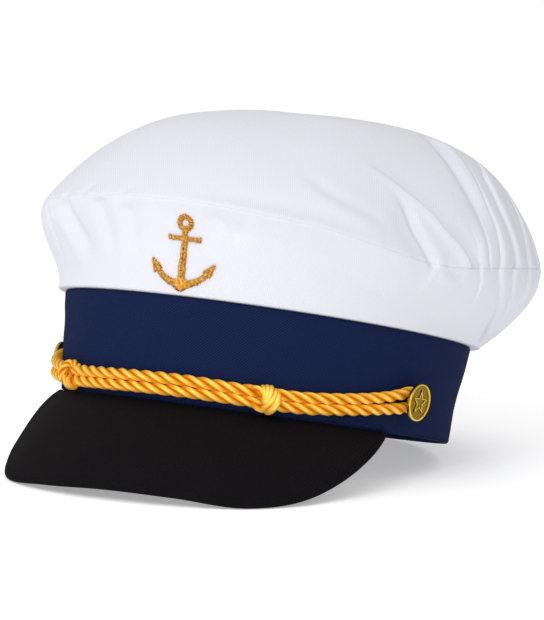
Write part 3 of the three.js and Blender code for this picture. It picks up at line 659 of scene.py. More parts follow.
def gold_thread(settings):
    finish = Finish("gold_thread", Roughness=0.3, Specular_IOR_Level=1.0,
                    Specular_Tint=(1.0, 0.72, 0.3, 1.0), Metallic=0.3)
    colour = tuple(settings.colour)
    finish.bump(finish.noise(1, 2, (6500, 6500, 6500)), 0.05)
    mottle = finish.math("MULTIPLY_ADD", finish.noise(1100, 3), 3.0, -1.0)
    tone = finish.blend(mottle, (0.6, 0.17, 0.006), (1.0, 0.66, 0.13))
    # Painted shade between the stitches: the dark colour lies in the lines between the crests, the full
    # colour on them.
    crest_painted_light = finish.cloth_lines(math.pi * settings.thread, 0, PEAK_OF_SINE)
    under = (colour[0] * 0.3, colour[1] * 0.12, 0.001)
    finish.link(finish.blend(finish.math("POWER", crest_painted_light, 1.6), under, tone), "Base Color")
    return finish.material


def gold_metal(settings):
    finish = Finish("gold_metal", Metallic=1.0, Specular_IOR_Level=0.5)
    colour = tuple(settings.colour)
    wear = finish.noise(420, 4)
    raised = finish.node("ShaderNodeAttribute", {}, attribute_name="raised").outputs["Fac"]
    tone = finish.blend(wear, shaded(colour, 0.85), shaded(colour, 1.3))
    # The sunken field is painted dark, a painted reflection of a dim surround. Beside it the raised edges, in
    # the metal's own colour, read as painted highlights.
    field_painted_reflection = finish.blend(wear, (0.11, 0.066, 0.002), (0.3, 0.19, 0.012))
    finish.link(finish.blend(raised, field_painted_reflection, tone), "Base Color")
    finish.link(finish.math("MULTIPLY_ADD", wear, 0.22, 0.14), "Roughness")
    finish.bump(finish.noise(1500, 3), 0.02, 0.6)
    return finish.material


def pale_floor(settings):
    finish = Finish("pale_floor", Roughness=0.95, Specular_IOR_Level=0.1, Emission_Color=(1, 1, 1, 1),
                    Emission_Strength=0.34)
    colour = tuple(settings.floor_colour)
    finish.link(finish.blend(finish.noise(40, 4), shaded(colour, 0.995), colour), "Base Color")
    return finish.material


# The settings that a user would change.
def millimetres(name, description, default, low=0.0, high=50.0):
    return FloatProperty(name=name, description=description, default=default, min=low, max=high)


def share_choice(name, description, default, high):
    return FloatProperty(name=name, description=description, default=default, min=0.0, max=high,
                         subtype="FACTOR")


def lean_choice(name, description, default):
    return FloatProperty(name=name, description=description, default=default, min=-90, max=90)


def colour_choice(description, default):
    return FloatVectorProperty(name="Colour", description=description, default=default, size=3,
                               min=0.0, max=1.0, subtype="COLOR")


class CapCrownSettings(bpy.types.PropertyGroup):
    fold_depth: share_choice("Fold depth", "Strength of the soft folds", 1.35, 2.0)
    pleat_depth: share_choice("Pleat depth", "Strength of the pleats at the sides and back", 1.0, 1.5)
    pucker: millimetres("Pucker", "Height of the puckers along the seam, in mm", 0.13, high=0.5)
    seam_depth: millimetres("Seam depth", "How far the panels turn in at the seam, in mm", 0.38, high=1.4)
    weave_pitch: millimetres("Weave pitch", "Distance between the lines of the cloth, in mm", 0.85, 0.2, 3)
    weave_depth: millimetres("Weave depth", "Depth of the lines of the cloth, in mm", 0.035, high=0.3)
    colour: colour_choice("Colour of the crown's cloth", (0.775, 0.775, 0.84))


class CapBandSettings(bpy.types.PropertyGroup):
    twill_pitch: millimetres("Twill pitch", "Distance between the twill's diagonals, in mm", 1.0, 0.2, 3)
    twill_lean: lean_choice("Twill lean", "Lean of the twill's diagonals, in degrees", -48.0)
    colour: colour_choice("Colour of the band's cloth", (0.0088, 0.0175, 0.066))


class CapPeakSettings(bpy.types.PropertyGroup):
    rib_pitch: millimetres("Rib pitch", "Distance between the ribs of the cover, in mm", 0.9, 0.2, 3)
    colour: colour_choice("Colour of the peak's cover", (0.0052, 0.0042, 0.0052))


class CapCordSettings(bpy.types.PropertyGroup):
    lead: millimetres("Lead", "Length of one turn of the cord's plies, in mm", 19.8, 8, 40)
    fibre_pitch: millimetres("Fibre pitch", "Distance between the fibres of a ply, in mm", 0.42, 0.1, 2)
    fibre_lean: lean_choice("Fibre lean", "Lean of the fibres along a ply, in degrees", 16.0)
    colour: colour_choice("Colour of the cord", (1.0, 0.48, 0.006))


class CapButtonSettings(bpy.types.PropertyGroup):
    radius: millimetres("Radius", "Radius of a button, in mm", 8.5, 6, 12)
    notches: IntProperty(name="Notches", description="Notches on the inside of the rim",
                         default=48, min=24, max=72)
    star: millimetres("Star", "From the star's middle to its points, in mm", 5.6, 3, 7)
    colour: colour_choice("Colour of the metal", (0.92, 0.56, 0.045))


class CapAnchorSettings(bpy.types.PropertyGroup):
    thread: millimetres("Thread", "Thickness of the thread, in mm", 0.48, 0.2, 0.8)
    spacing: millimetres("Spacing", "Distance between stitches, in mm", 0.55, 0.2, 1)
    relief: millimetres("Relief", "Height of the embroidery, in mm", 0.8, 0.3, 1.5)
    colour: colour_choice("Colour of the thread", (0.95, 0.42, 0.04))


class CapStageSettings(bpy.types.PropertyGroup):
    daylight: FloatProperty(name="Daylight", description="Strength of the light all round",
                            default=0.4, min=0, max=3)
    key: FloatProperty(name="Key light", description="Power of the light in front",
                       default=8.0, min=0, max=100, unit="POWER")
    floor_colour: colour_choice("Colour of the floor", (0.9, 0.9, 0.9))


# The crown. Its mesh: rows beside the seam in mm, the step round it in degrees, how close a
# plain column may lie to a pleat's and any two to each other, mm in a degree at the seam, and
# the azimuths of the front between which no pleat leads the mesh.
LIP_ROWS_MM = (0.0, 0.12, 0.3, 0.55, 0.9, 1.4, 2.1, 3.0)
ROUND_STEP, PLAIN_APART, LEAST_APART = 0.75, 0.3, 0.09
SEAM_MM_PER_DEGREE = 1.85
UNPLEATED = [-62, 24]
TOP_ROWS, TOP_SHARE = 62, 0.985  # rows up to the apex, and how near they come to it
SIDE_ROWS, HEM_LEVEL = 36, 0.035
SEAM_APART = 0.02  # half the gap between the two panels at the seam, in mm


def crown_azimuths():
    """Azimuths of the crown's columns at the seam, with more of them along each pleat."""
    sharp = [float(np.interp(1.0, line.level[::-1], line.azimuth[::-1])) for line in pleat_lines]
    extra = [at + mm / SEAM_MM_PER_DEGREE for at in sharp for mm in PLEAT_COLUMNS_MM]
    extra += [at - mm / SEAM_MM_PER_DEGREE for at in sharp if at < 0 for mm in PLEAT_COLUMNS_MM]
    plain = [a for a in np.arange(-180, 180, ROUND_STEP)
             if min(abs(a - e) for e in extra) > PLAIN_APART]
    every = sorted(plain + extra)
    kept = [every[0]]
    for azimuth in every[1:]:
        if azimuth - kept[-1] > LEAST_APART:
            kept.append(azimuth)
    return np.array(kept), np.array(sharp)


def follow_pleats(azimuths, sharp, level):
    """Moves the grid's columns sideways so that they run along the pleats."""
    order = np.argsort(sharp)
    sharp = sharp[order]
    stops = np.concatenate([[-180], sharp[sharp < 0], UNPLEATED, sharp[sharp > 0], [180]])
    lines = [pleat_lines[i] for i in order]
    at_stop = [None, *(line for line in lines if line.azimuth.mean() < 0), None, None,
               *(line for line in lines if line.azimuth.mean() > 0), None]

    def place(k):
        line = at_stop[k]
        if line is None:
            return np.full(level.shape, stops[k], float)
        return np.interp(level, line.level[::-1], line.azimuth[::-1])

    placed = np.array(np.broadcast_to(azimuths, level.shape), float)
    for k in range(len(stops) - 1):
        inside = (azimuths >= stops[k]) & (azimuths < stops[k + 1])
        if not inside.any():
            continue
        share = (azimuths[inside] - stops[k]) / (stops[k + 1] - stops[k])
        placed[:, inside] = place(k)[:, inside] * (1 - share) + place(k + 1)[:, inside] * share
    return placed


def rows_from_seam(azimuths, levels, stops_mm, count, end_share):
    """Levels of the rows of each column, spaced by their distance from the seam."""
    length = run_along(crown_base(azimuths[None, :], levels[:, None]))
    rows = np.empty((len(stops_mm) + count, len(azimuths)))
    for j in range(len(azimuths)):
        whole = length[-1, j] * end_share
        wanted = np.concatenate([stops_mm, np.linspace(stops_mm[-1], whole, count + 1)[1:]])
        rows[:, j] = np.interp(wanted, length[:, j], levels)
    return rows


def crown_faces(settings, level, azimuths, sharp, way, inner_rows):
    """Outer and inner points of a panel, from the seam on."""
    placed = follow_pleats(azimuths, sharp, level)
    base = crown_base(placed, level)
    out = crown_out(placed, level)
    relief = crown_relief(placed, level, base, settings)
    outer = base + out * relief[..., None]
    inner = base + out * (np.minimum(relief, 0.3) - CLOTH)[..., None]
    apart = SEAM_APART * way * np.exp(-from_seam(level) / 2)
    outer[..., 2] += apart
    inner[..., 2] += apart
    return outer, inner[inner_rows]


class CAP_OT_crown(bpy.types.Operator):
    """Sew the two panels of the crown"""
    bl_idname = "object.cap_crown"
    bl_label = "Crown"

    def execute(self, context):
        settings = context.scene.cap_crown
        azimuths, sharp = crown_azimuths()
        self.top(settings, azimuths, sharp)
        self.side(settings, azimuths, sharp)
        return {"FINISHED"}

    def top(self, settings, azimuths, sharp):
        levels = 1 + np.linspace(0, 1, 301)
        level = rows_from_seam(azimuths, levels, LIP_ROWS_MM, TOP_ROWS, TOP_SHARE)
        inner_rows = [0, 4, 7, *range(12, len(level), 7), len(level) - 1]
        outer, inner = crown_faces(settings, level, azimuths, sharp, 1, inner_rows)
        rings = np.concatenate([inner[::-1], outer])
        tip = APEX + np.array([0, 0, outer[-1, :, 2].mean() + 0.12 - APEX[2]])
        weave = Weave()
        weave.tube(rings, False, with_last(rings[..., :2]) / MAP_MM, [tip - [0, 0, CLOTH], tip])
        dress(weave.make("crown_top_cloth"), white_twill(settings, 32), "crown_top")

    def side(self, settings, azimuths, sharp):
        levels = np.linspace(1, HEM_LEVEL, 161)
        level = rows_from_seam(azimuths, levels, LIP_ROWS_MM, SIDE_ROWS, 1.0)
        inner_rows = [0, 4, 7, *range(11, len(level), 6), len(level) - 1]
        outer, inner = crown_faces(settings, level, azimuths, sharp, -1, inner_rows)
        seat = BAND["height"] + GAP
        low = follow_pleats(azimuths, sharp, level[-1:])[0]
        edge, outward = outer[-1], unit(outer[-1] * [1, 1, 0])
        turned = []
        for angle in (20, 40, 60, 76, 90):
            a = math.radians(angle)
            ring = edge - outward * (1.3 * (1 - math.cos(a)))
            ring[:, 2] = edge[:, 2] + (seat - edge[:, 2]) * math.sin(a)
            turned.append(ring)
        for off, up in ((0.2, 0), (-2.1, 0), (-2.1, CLOTH)):
            ring = band_point(low, BAND["height"], off)
            ring[:, 2] = seat + up
            turned.append(ring)
        rings = np.concatenate([outer, np.array(turned), inner[::-1]])
        weave = Weave()
        weave.tube(rings, True, ring_cloth(rings[20], rings[..., 2]))
        dress(weave.make("crown_side_cloth"), white_twill(settings, 22), "crown_side")


# The band.
def band_relief(azimuth, height):
    relief = waves(band_point(azimuth, height), *BAND_WAVES)
    for at, up, wide, tall, far in BAND_SWELLS:
        away = (turned_from(azimuth, at) / wide) ** 2 + ((height - up) / tall) ** 2
        relief = relief + far * np.exp(-away)
    return relief


class CAP_OT_band(bpy.types.Operator):
    """Wrap the band"""
    bl_idname = "object.cap_band"
    bl_label = "Band"

    def execute(self, context):
        settings = context.scene.cap_band
        azimuths = np.arange(-180, 180, 0.9)
        height, wall, radius = BAND["height"], BAND["wall"], 1.2
        face = [(z, 0.0) for z in np.linspace(radius, height - 0.9, 26)]
        top = [(height - 0.35, -0.25), (height, -0.9), (height, -wall)]
        inside = [(z, -wall) for z in np.linspace(height - 1, 2, 9)]
        under = [(radius, -wall)]
        for angle in (150, 120, 90, 60, 30):
            a = math.radians(angle)
            under.append((radius - radius * math.sin(a), -radius + radius * math.cos(a)))
        rings = []
        for z, off in face + top + inside + under:
            relief = band_relief(azimuths, np.full(azimuths.shape, z)) * (1 + off / wall)
            rings.append(band_point(azimuths, z, off + relief))
        rings = np.array(rings)
        drop = np.broadcast_to(run_along(rings).mean(1, keepdims=True), rings.shape[:2])
        weave = Weave()
        weave.tube(rings, True, ring_cloth(rings[12], drop))
        dress(weave.make("band_cloth"), navy_twill(settings), "band")
        return {"FINISHED"}


# The peak. Its section in mm: its corners under the band, where its middle starts, the welt
# and the groove behind it (how high, how far from the edge and how wide), and rows for them.
PEAK_CORNERS = [(-2.1, -GAP - 1.2), (-2.1, -GAP), (-0.15, -GAP)]
PEAK_ROOT = (-0.9, -GAP - PEAK_THICKNESS / 2)
WELTS = ((0.22, 1.0, 0.9), (-0.18, 2.6, 0.45))
WELT_ROWS = np.array([0.6, 1.2, 1.8, 2.2, 2.6, 3.0, 3.5])


def peak_section(azimuth, steps):
    """The peak's closed section at an azimuth, as how far out of the rim and how high."""
    root = np.array(PEAK_ROOT)
    edge = np.array([float(peak_out(azimuth)), -float(peak_drop(azimuth))])
    along = edge - root
    radius = PEAK_THICKNESS / 2
    normal = np.array([-along[1], along[0]]) / np.hypot(*along)
    middle = edge + normal * PEAK_THICKNESS / 2 - root
    whole = np.hypot(*middle)
    ahead = middle / whole
    straight = max(whole - radius, whole * 0.5)

    def bulge(t):
        return PEAK_BULGE * 4 * t * (1 - t)

    def face(side, share):
        t = share * straight / whole
        back = (1 - share) * straight
        welt = sum(high * math.exp(-((back - at) / wide) ** 2) for high, at, wide in WELTS)
        return root + middle * t + normal * (bulge(t) + side * (radius + welt))

    shares = np.linspace(0, 1, steps) ** 0.85
    shares = np.sort(np.concatenate([shares[1:], 1 - WELT_ROWS / max(straight, 8)]))
    points = PEAK_CORNERS + [face(1, share) for share in shares]
    end = straight / whole
    centre = root + middle * end + normal * bulge(end)
    for angle in (60, 30, 0, -30, -60):
        a = math.radians(angle)
        round_edge = ahead * min(radius, whole - straight) * math.cos(a)
        points.append(centre + normal * radius * math.sin(a) + round_edge)
    points += [face(-1, share) for share in shares[::-1]]
    return np.array([np.asarray(p, float) for p in points])


class CAP_OT_peak(bpy.types.Operator):
    """Cover the peak"""
    bl_idname = "object.cap_peak"
    bl_label = "Peak"

    def execute(self, context):
        settings = context.scene.cap_peak
        share = np.linspace(-1, 1, 181)
        azimuths = PEAK_REACH * np.sign(share) * np.abs(share) ** 0.96
        sections = []
        for azimuth in azimuths:
            flat = peak_section(azimuth, 24)
            points = band_point(azimuth, 0.0, flat[:, 0])
            points[:, 2] = flat[:, 1]
            sections.append(points)
        sections = np.array(sections)
        cloth = np.stack([sections[..., 0], run_along(sections.swapaxes(0, 1)).T], -1) / MAP_MM
        cloth = np.concatenate([cloth, cloth[:, -1:] + [0, 0.01]], axis=1)
        weave = Weave()
        weave.tube(sections, False, cloth)
        dress(weave.make("peak_cover"), black_twill(settings), "peak")
        return {"FINISHED"}


# The cord and its knots.
PLY_OUT, PLY_RADIUS, PLY_GIRTH = 1.16, 1.46, 8.8  # a ply in the cord, and its girth, in mm
KNOT_SQUEEZE, KNOT_GRIP = 0.3, 2.2  # how much a knot draws the cord in, and its reach in degrees
STRAND_SHARE = 0.9  # how close the strands lie, against the frame's
CORD_STEP, KNOT_STEP = 0.72, 0.35  # mm from one section of a ply to the next
CORD_SIDES, PLY_SIDES = 16, 20

# The plies of each knot: how thick each is, and the points that it runs through, out of the
# band, up and along it towards the wearer's left, in mm from the middle of the knot.
KNOT_PLIES = {
    "knot_left": [
        (1.25, [(2.2, 3.4, -6.6), (4.2, 4.2, -5.4), (5.3, 4.3, -4.0), (5.9, 3.4, -2.4), (6.0, 1.8, -1.6)]),
        (1.2, [(1.6, 4.4, -1.9), (3.4, 4.9, -1.7), (5.8, 3.8, -1.5), (6.9, 1.8, -1.1), (6.8, -0.2, -0.8),
               (5.8, -1.8, -1.0)]),
        (1.35, [(1.6, 4.4, 0.1), (3.4, 5.1, 0.1), (6.1, 4.0, 0.1), (7.2, 1.9, 0.0), (7.0, -0.3, -0.3),
                (5.9, -1.8, -0.9)]),
        (1.35, [(1.6, 4.2, 2.0), (3.2, 5.0, 1.9), (6.2, 3.9, 1.7), (7.3, 1.9, 1.2), (7.1, -0.4, 0.2),
                (6.0, -1.8, -0.8)]),
        (1.4, [(1.8, 3.6, 4.2), (3.8, 3.9, 3.9), (6.2, 2.2, 3.4), (7.3, 0.1, 2.3), (6.8, -2.0, 0.7),
               (4.8, -4.0, -0.8), (2.6, -4.6, -1.6)]),
        (1.9, [(3.0, 3.0, 4.4), (5.0, 1.8, 4.8), (6.3, -0.6, 4.6), (6.4, -3.0, 3.5), (4.6, -4.6, 2.2),
               (2.2, -4.8, 1.2)]),
        (1.35, [(2.2, -2.0, -5.6), (3.8, -3.2, -4.4), (5.0, -4.2, -2.8), (4.8, -4.6, -1.0),
                (3.2, -4.2, 0.6)]),
    ],
    "knot_right": [
        (1.3, [(5.4, -0.6, 2.0), (5.6, -3.0, 3.0), (4.0, -4.7, 4.0), (2.0, -4.9, 4.6)]),
        (1.3, [(6.6, 0.2, -0.2), (6.4, -2.6, 1.0), (4.4, -4.9, 2.2), (1.9, -5.3, 2.9)]),
    ],
}

# Turns of the whole cord in the right knot: how large against the cord, and the points.
KNOT_TURNS = {
    "knot_right": [
        (0.66, [(2.6, 3.4, -4.6), (5.0, 2.8, -4.2), (7.0, 0.9, -3.0), (6.8, -1.4, -1.9),
                (5.2, -3.9, -0.8), (3.2, -5.2, 0.4), (1.8, -5.2, 1.2)]),
        (0.7, [(5.4, -1.2, -3.4), (7.0, 0.6, -2.0), (6.9, 2.9, -1.0), (5.6, 5.0, 0.2),
               (4.0, 5.5, 2.0), (3.4, 4.4, 5.0), (3.1, 3.2, 8.0)]),
    ],
}
TURN_LEAD = 11.5


def squeeze(azimuth):
    """How much of its size the cord keeps at an azimuth, less where a knot grips it."""
    grips = sum(np.exp(-((azimuth - at) / KNOT_GRIP) ** 2) for at in KNOTS.values())
    return 1 - KNOT_SQUEEZE * grips


def cord_loop(spacing):
    """Points of the loop's middle, ways out of the band and the cord's share of its size."""
    right, left = BUTTONS["button_right"], BUTTONS["button_left"]
    route = []
    for side, start, end in ((1, right, left), (-1, left, right)):
        for azimuth in np.linspace(start, end, 420, endpoint=False):
            apart = cord_apart(azimuth) * squeeze(azimuth) * STRAND_SHARE
            route.append((azimuth, float(cord_middle(azimuth) + side * apart)))
        radius = float(cord_apart(end)) * STRAND_SHARE
        for a in np.linspace(0, math.pi, 30, endpoint=False):
            further = math.degrees(math.sin(a) * radius / BAND["half_length"])
            route.append((end + side * further, float(cord_middle(end)) + side * math.cos(a) * radius))
    route = np.array(route)
    route = np.concatenate([route, route[:1]])
    points = band_point(route[:, 0], route[:, 1], GAP + CORD_RADIUS)
    length = run_along(points)
    at = np.linspace(0, length[-1], round(length[-1] / spacing), endpoint=False)
    azimuth, height = (np.interp(at, length, route[:, i]) for i in (0, 1))
    middle = band_point(azimuth, height, GAP + CORD_RADIUS)
    out = unit(band_point(azimuth, height, 10) - band_point(azimuth, height))
    return middle, out, squeeze(azimuth)


def ply_section(count, far, radius):
    """A ply's section in its own sector of the cord: x away from the cord's middle."""
    a = np.linspace(0, 2 * math.pi, count, endpoint=False)
    x = np.maximum(far + radius * np.cos(a), 0.06)
    side = np.maximum(x * math.tan(math.radians(60)) - 0.03, 0.01)
    return np.stack([x, np.clip(radius * np.sin(a), -side, side)], -1)


def smooth_path(stops, spacing):
    """Even points on a smooth curve through the stops."""
    stops = np.array(stops, float)
    at = run_along(stops)
    t = np.linspace(0, at[-1], max(8, round(at[-1] / spacing)))
    return np.stack([smooth_curve(at, stops[:, i])(t) for i in range(3)], -1)


def twist_plies(weave, middle, out, size, lead, closed, sides, rng):
    """Lays three plies round each other along a path."""
    if closed:
        ahead = unit(np.roll(middle, -1, 0) - np.roll(middle, 1, 0))
        steps = np.linalg.norm(np.roll(middle, -1, 0) - middle, axis=1)
    else:
        ahead = unit(np.gradient(middle, axis=0))
        steps = np.linalg.norm(np.diff(middle, axis=0), axis=1)
    at = np.concatenate([[0], np.cumsum(steps)])[:len(middle)]
    whole = steps.sum()
    across = unit(np.cross(ahead, out))
    level = np.cross(across, ahead)
    turns = round(whole / lead) if closed else whole / lead
    section = ply_section(sides, PLY_OUT, PLY_RADIUS)
    for ply in range(3):
        slack = sum(rng.uniform(0.2, 1) * np.sin(2 * math.pi * n * at / whole + rng.uniform(0, 6))
                    for n in (9, 23, 41)) if closed else np.zeros(len(at))
        angle = -2 * math.pi * (turns * at / whole + ply / 3) + 0.05 * slack
        swell = size * (1 + 0.016 * slack)
        c, s = np.cos(angle)[:, None], np.sin(angle)[:, None]
        x = section[None, :, 0] * c - section[None, :, 1] * s
        y = section[None, :, 0] * s + section[None, :, 1] * c
        ring = across[:, None] * x[..., None] + level[:, None] * y[..., None]
        points = middle[:, None] + ring * swell[:, None, None]
        v = np.append(at, whole) if closed else at
        u = np.linspace(0, PLY_GIRTH, sides + 1)
        cloth = np.stack(np.meshgrid(v, u, indexing="ij")[::-1], -1) / MAP_MM
        weave.tube(points, closed, cloth)


class CAP_OT_cord(bpy.types.Operator):
    """Twist the cord from button to button"""
    bl_idname = "object.cap_cord"
    bl_label = "Cord"

    def execute(self, context):
        settings = context.scene.cap_cord
        middle, out, size = cord_loop(CORD_STEP)
        weave = Weave()
        twist_plies(weave, middle, out, size, settings.lead, True, CORD_SIDES, np.random.default_rng(7))
        dress(weave.make("cord_plies"), gold_cord(settings), "cord")
        return {"FINISHED"}


def tapered(count, steep, least):
    """Shares of a tube's size along it, drawn in at both ends."""
    t = np.linspace(0, 1, count)
    return np.sqrt(np.clip(np.minimum(t, 1 - t) * steep, least, 1))


def ribbon_tube(weave, path, out, radius, around, girth=None):
    """An open round tube along a path, drawn in at its ends."""
    ahead = unit(np.gradient(path, axis=0))
    across = unit(np.cross(ahead, out))
    level = np.cross(across, ahead)
    a = np.linspace(0, 2 * math.pi, around, endpoint=False)
    size = radius * tapered(len(path), 14, 0.05)
    ring = level[:, None] * np.cos(a)[None, :, None] + across[:, None] * np.sin(a)[None, :, None]
    points = path[:, None] + ring * size[:, None, None]
    u = np.linspace(0, girth or 2 * math.pi * radius, around + 1)
    cloth = np.stack(np.meshgrid(run_along(path), u, indexing="ij")[::-1], -1) / MAP_MM
    weave.tube(points, False, cloth)


def knot_path(stops, foot, axes):
    """A path over a knot from its stops, and the ways out of the cord along it."""
    path = smooth_path(stops, KNOT_STEP)
    axis = np.array([GAP + CORD_RADIUS, 0, 0]) + path * [0, 0, 1]
    return foot + path @ axes, unit(path - axis) @ axes


class CAP_OT_knots(bpy.types.Operator):
    """Tie the two knots over the cord"""
    bl_idname = "object.cap_knots"
    bl_label = "Knots"

    def execute(self, context):
        settings = context.scene.cap_cord
        for name, azimuth in KNOTS.items():
            foot, along, up, out = band_axes(azimuth, float(cord_middle(azimuth)))
            axes = np.stack([out, up, along])
            weave = Weave()
            for radius, stops in KNOT_PLIES[name]:
                ribbon_tube(weave, *knot_path(stops, foot, axes), radius, PLY_SIDES, PLY_GIRTH)
            for share, stops in KNOT_TURNS.get(name, ()):
                path, away = knot_path(stops, foot, axes)
                size = share * tapered(len(path), 16, 0.08)
                twist_plies(weave, path, away, size, TURN_LEAD, False, CORD_SIDES,
                            np.random.default_rng(5))
            dress(weave.make(name + "_plies"), gold_cord(settings), name)
        return {"FINISHED"}


# The buttons.
BUTTON_UNDER, BUTTON_FACE, SHANK = 6.6, 8.1, 1.2

# Insets as thickness and depth in mm: of a button's face, for its rim, the groove inside it
# and the field; and of the star, for its bevel, its edge and its hollow.
FACE_INSETS = ((0.22, 0.16), (0.42, 0.0), (0.34, -0.62), (0.5, -0.02), (2.6, 0.14), (2.4, 0.06))
STAR_INSETS = ((0.12, 0.12), (0.22, 0.0), (0.14, -0.4))


def in_edit(piece, test, *steps):
    """Runs edit mode steps on the faces that pass a test."""
    only(piece)
    bpy.ops.object.mode_set(mode="EDIT")
    bpy.ops.mesh.select_mode(type="FACE")
    bpy.ops.mesh.select_all(action="DESELECT")
    bpy.ops.object.mode_set(mode="OBJECT")
    mesh = piece.data
    for kind in (mesh.vertices, mesh.edges, mesh.polygons):
        kind.foreach_set("select", [False] * len(kind))
    for face in mesh.polygons:
        face.select = bool(test(face))
    bpy.ops.object.mode_set(mode="EDIT")
    for step in steps:
        step()
    bpy.ops.object.mode_set(mode="OBJECT")


def every_face(face):
    return True


def inset(thickness, depth, **options):
    return lambda: bpy.ops.mesh.inset(thickness=thickness, depth=depth, **options)


def extrude_up(far):
    return lambda: bpy.ops.mesh.extrude_region_move(TRANSFORM_OT_translate={"value": (0, 0, far)})


def turn_out():
    bpy.ops.mesh.normals_make_consistent(inside=False)


class CAP_OT_buttons(bpy.types.Operator):
    """Stamp the two star buttons"""
    bl_idname = "object.cap_buttons"
    bl_label = "Buttons"

    def execute(self, context):
        settings = context.scene.cap_button
        for name, azimuth in BUTTONS.items():
            body = self.body(settings)
            star = self.star(settings)
            self.mark_painted_highlight_edges(body, BUTTON_FACE - 0.12)
            self.mark_painted_highlight_edges(star, BUTTON_FACE + 0.12)
            only(body)
            star.select_set(True)
            bpy.ops.object.join()
            body.name = body.data.name = name + "_stamped"
            turn = math.copysign(BUTTON_TURN, azimuth)
            foot, along, up, out = band_axes(azimuth, float(cord_middle(azimuth)), turn)
            place = Matrix.Translation(Vector(foot)) @ Matrix(np.stack([along, up, out], 1).tolist()).to_4x4()
            rest = Matrix.Translation(Vector(REST_AT)) @ Matrix(REST_TURN.tolist()).to_4x4()
            body.data.transform(Matrix.Scale(0.001, 4) @ rest @ place)
            dress(body, gold_metal(settings), name)
        return {"FINISHED"}

    def mark_painted_highlight_edges(self, piece, level):
        """Marks the raised edges, which keep the bright metal while the field is painted dark, so they read
        as painted highlights.
        """
        mark = piece.data.attributes.new("raised", "FLOAT", "POINT")
        for vertex, item in zip(piece.data.vertices, mark.data):
            item.value = float(smoothstep(level - 0.08, level + 0.02, vertex.co.z))

    def body(self, settings):
        count = settings.notches * 2
        radius = settings.radius
        only(None)
        depth = BUTTON_FACE - BUTTON_UNDER
        bpy.ops.mesh.primitive_cylinder_add(vertices=count, radius=radius - 0.1, depth=depth,
                                            location=(0, 0, BUTTON_UNDER + depth / 2))
        body = bpy.context.object
        bpy.ops.object.transform_apply(location=True, rotation=True, scale=True)
        in_edit(body, lambda face: face.normal.z > 0.9 and face.center.z > BUTTON_FACE - 0.01,
                *(inset(*step) for step in FACE_INSETS))
        slopes = sorted((f for f in body.data.polygons
                         if f.center.z > BUTTON_UNDER + 1 and 0.15 < abs(f.normal.z) < 0.8
                         and radius - 1.2 < math.hypot(f.center.x, f.center.y) < radius - 0.6),
                        key=lambda f: math.atan2(f.center.y, f.center.x))
        notched = {f.index for f in slopes[::2]}
        in_edit(body, lambda face: face.index in notched, inset(0.07, -0.16, use_individual=True))
        in_edit(body, lambda face: face.normal.z < -0.9 and face.center.z < BUTTON_UNDER + 0.01,
                inset(0.3, 0.15), inset(radius - 0.4 - SHANK, 0.0),
                extrude_up(GAP - BUTTON_UNDER + 0.15))
        only(body)
        bevel = body.modifiers.new("edges", "BEVEL")
        bevel.width, bevel.segments = 0.05, 2
        bevel.limit_method, bevel.angle_limit = "ANGLE", math.radians(40)
        bpy.ops.object.modifier_apply(modifier="edges")
        bpy.ops.object.shade_smooth_by_angle(angle=math.radians(38))
        return body

    def star(self, settings):
        only(None)
        base = BUTTON_FACE - 0.42
        bpy.ops.mesh.primitive_circle_add(vertices=10, radius=settings.star, fill_type="NGON",
                                          location=(0, 0, 0))
        star = bpy.context.object
        for i, vertex in enumerate(star.data.vertices):
            a = math.atan2(vertex.co.y, vertex.co.x)
            tip = math.radians(90 + 72 * round((math.degrees(a) - 90) / 72))
            is_tip = abs(math.sin((a - tip) / 2)) < 0.05
            reach = settings.star if is_tip else settings.star * 0.42
            vertex.co = (reach * math.cos(a), reach * math.sin(a), base)
        in_edit(star, every_face, turn_out, extrude_up(0.5))
        in_edit(star, lambda face: face.center.z > base + 0.49, *(inset(*step) for step in STAR_INSETS))
        in_edit(star, every_face, turn_out)
        bpy.ops.object.shade_smooth_by_angle(angle=math.radians(25))
        return star


# The anchor, drawn flat in mm: x towards the wearer's left and y up from its foot.
ANCHOR_RING = {"y": 29.9, "outer": 3.6, "hole": 1.75}
ANCHOR_STOCK = {"y": 23.2, "half_width": 7.6, "half": 0.85}
ANCHOR_SHANK = {"low": 5.0, "high": 27.0, "half_low": 1.55, "half_high": 1.1}
ANCHOR_ARMS = {"radius": 15.0, "centre": 18.1, "spread": 56, "half": 1.15, "half_crown": 2.3}
ANCHOR_FLUKE = {"length": 5.8, "half": 2.3}
ANCHOR_FOOT = {"width": 3.6, "height": 1.9}

# The patch of short rows over the anchor's crown: its rows, the lowest one's height and their
# step, and where it is widest, its half width there and how fast it narrows.
CROSSED = {"rows": 15, "low": 1.0, "step": 0.34, "middle": 3.9, "half": 2.9, "slope": 0.62}


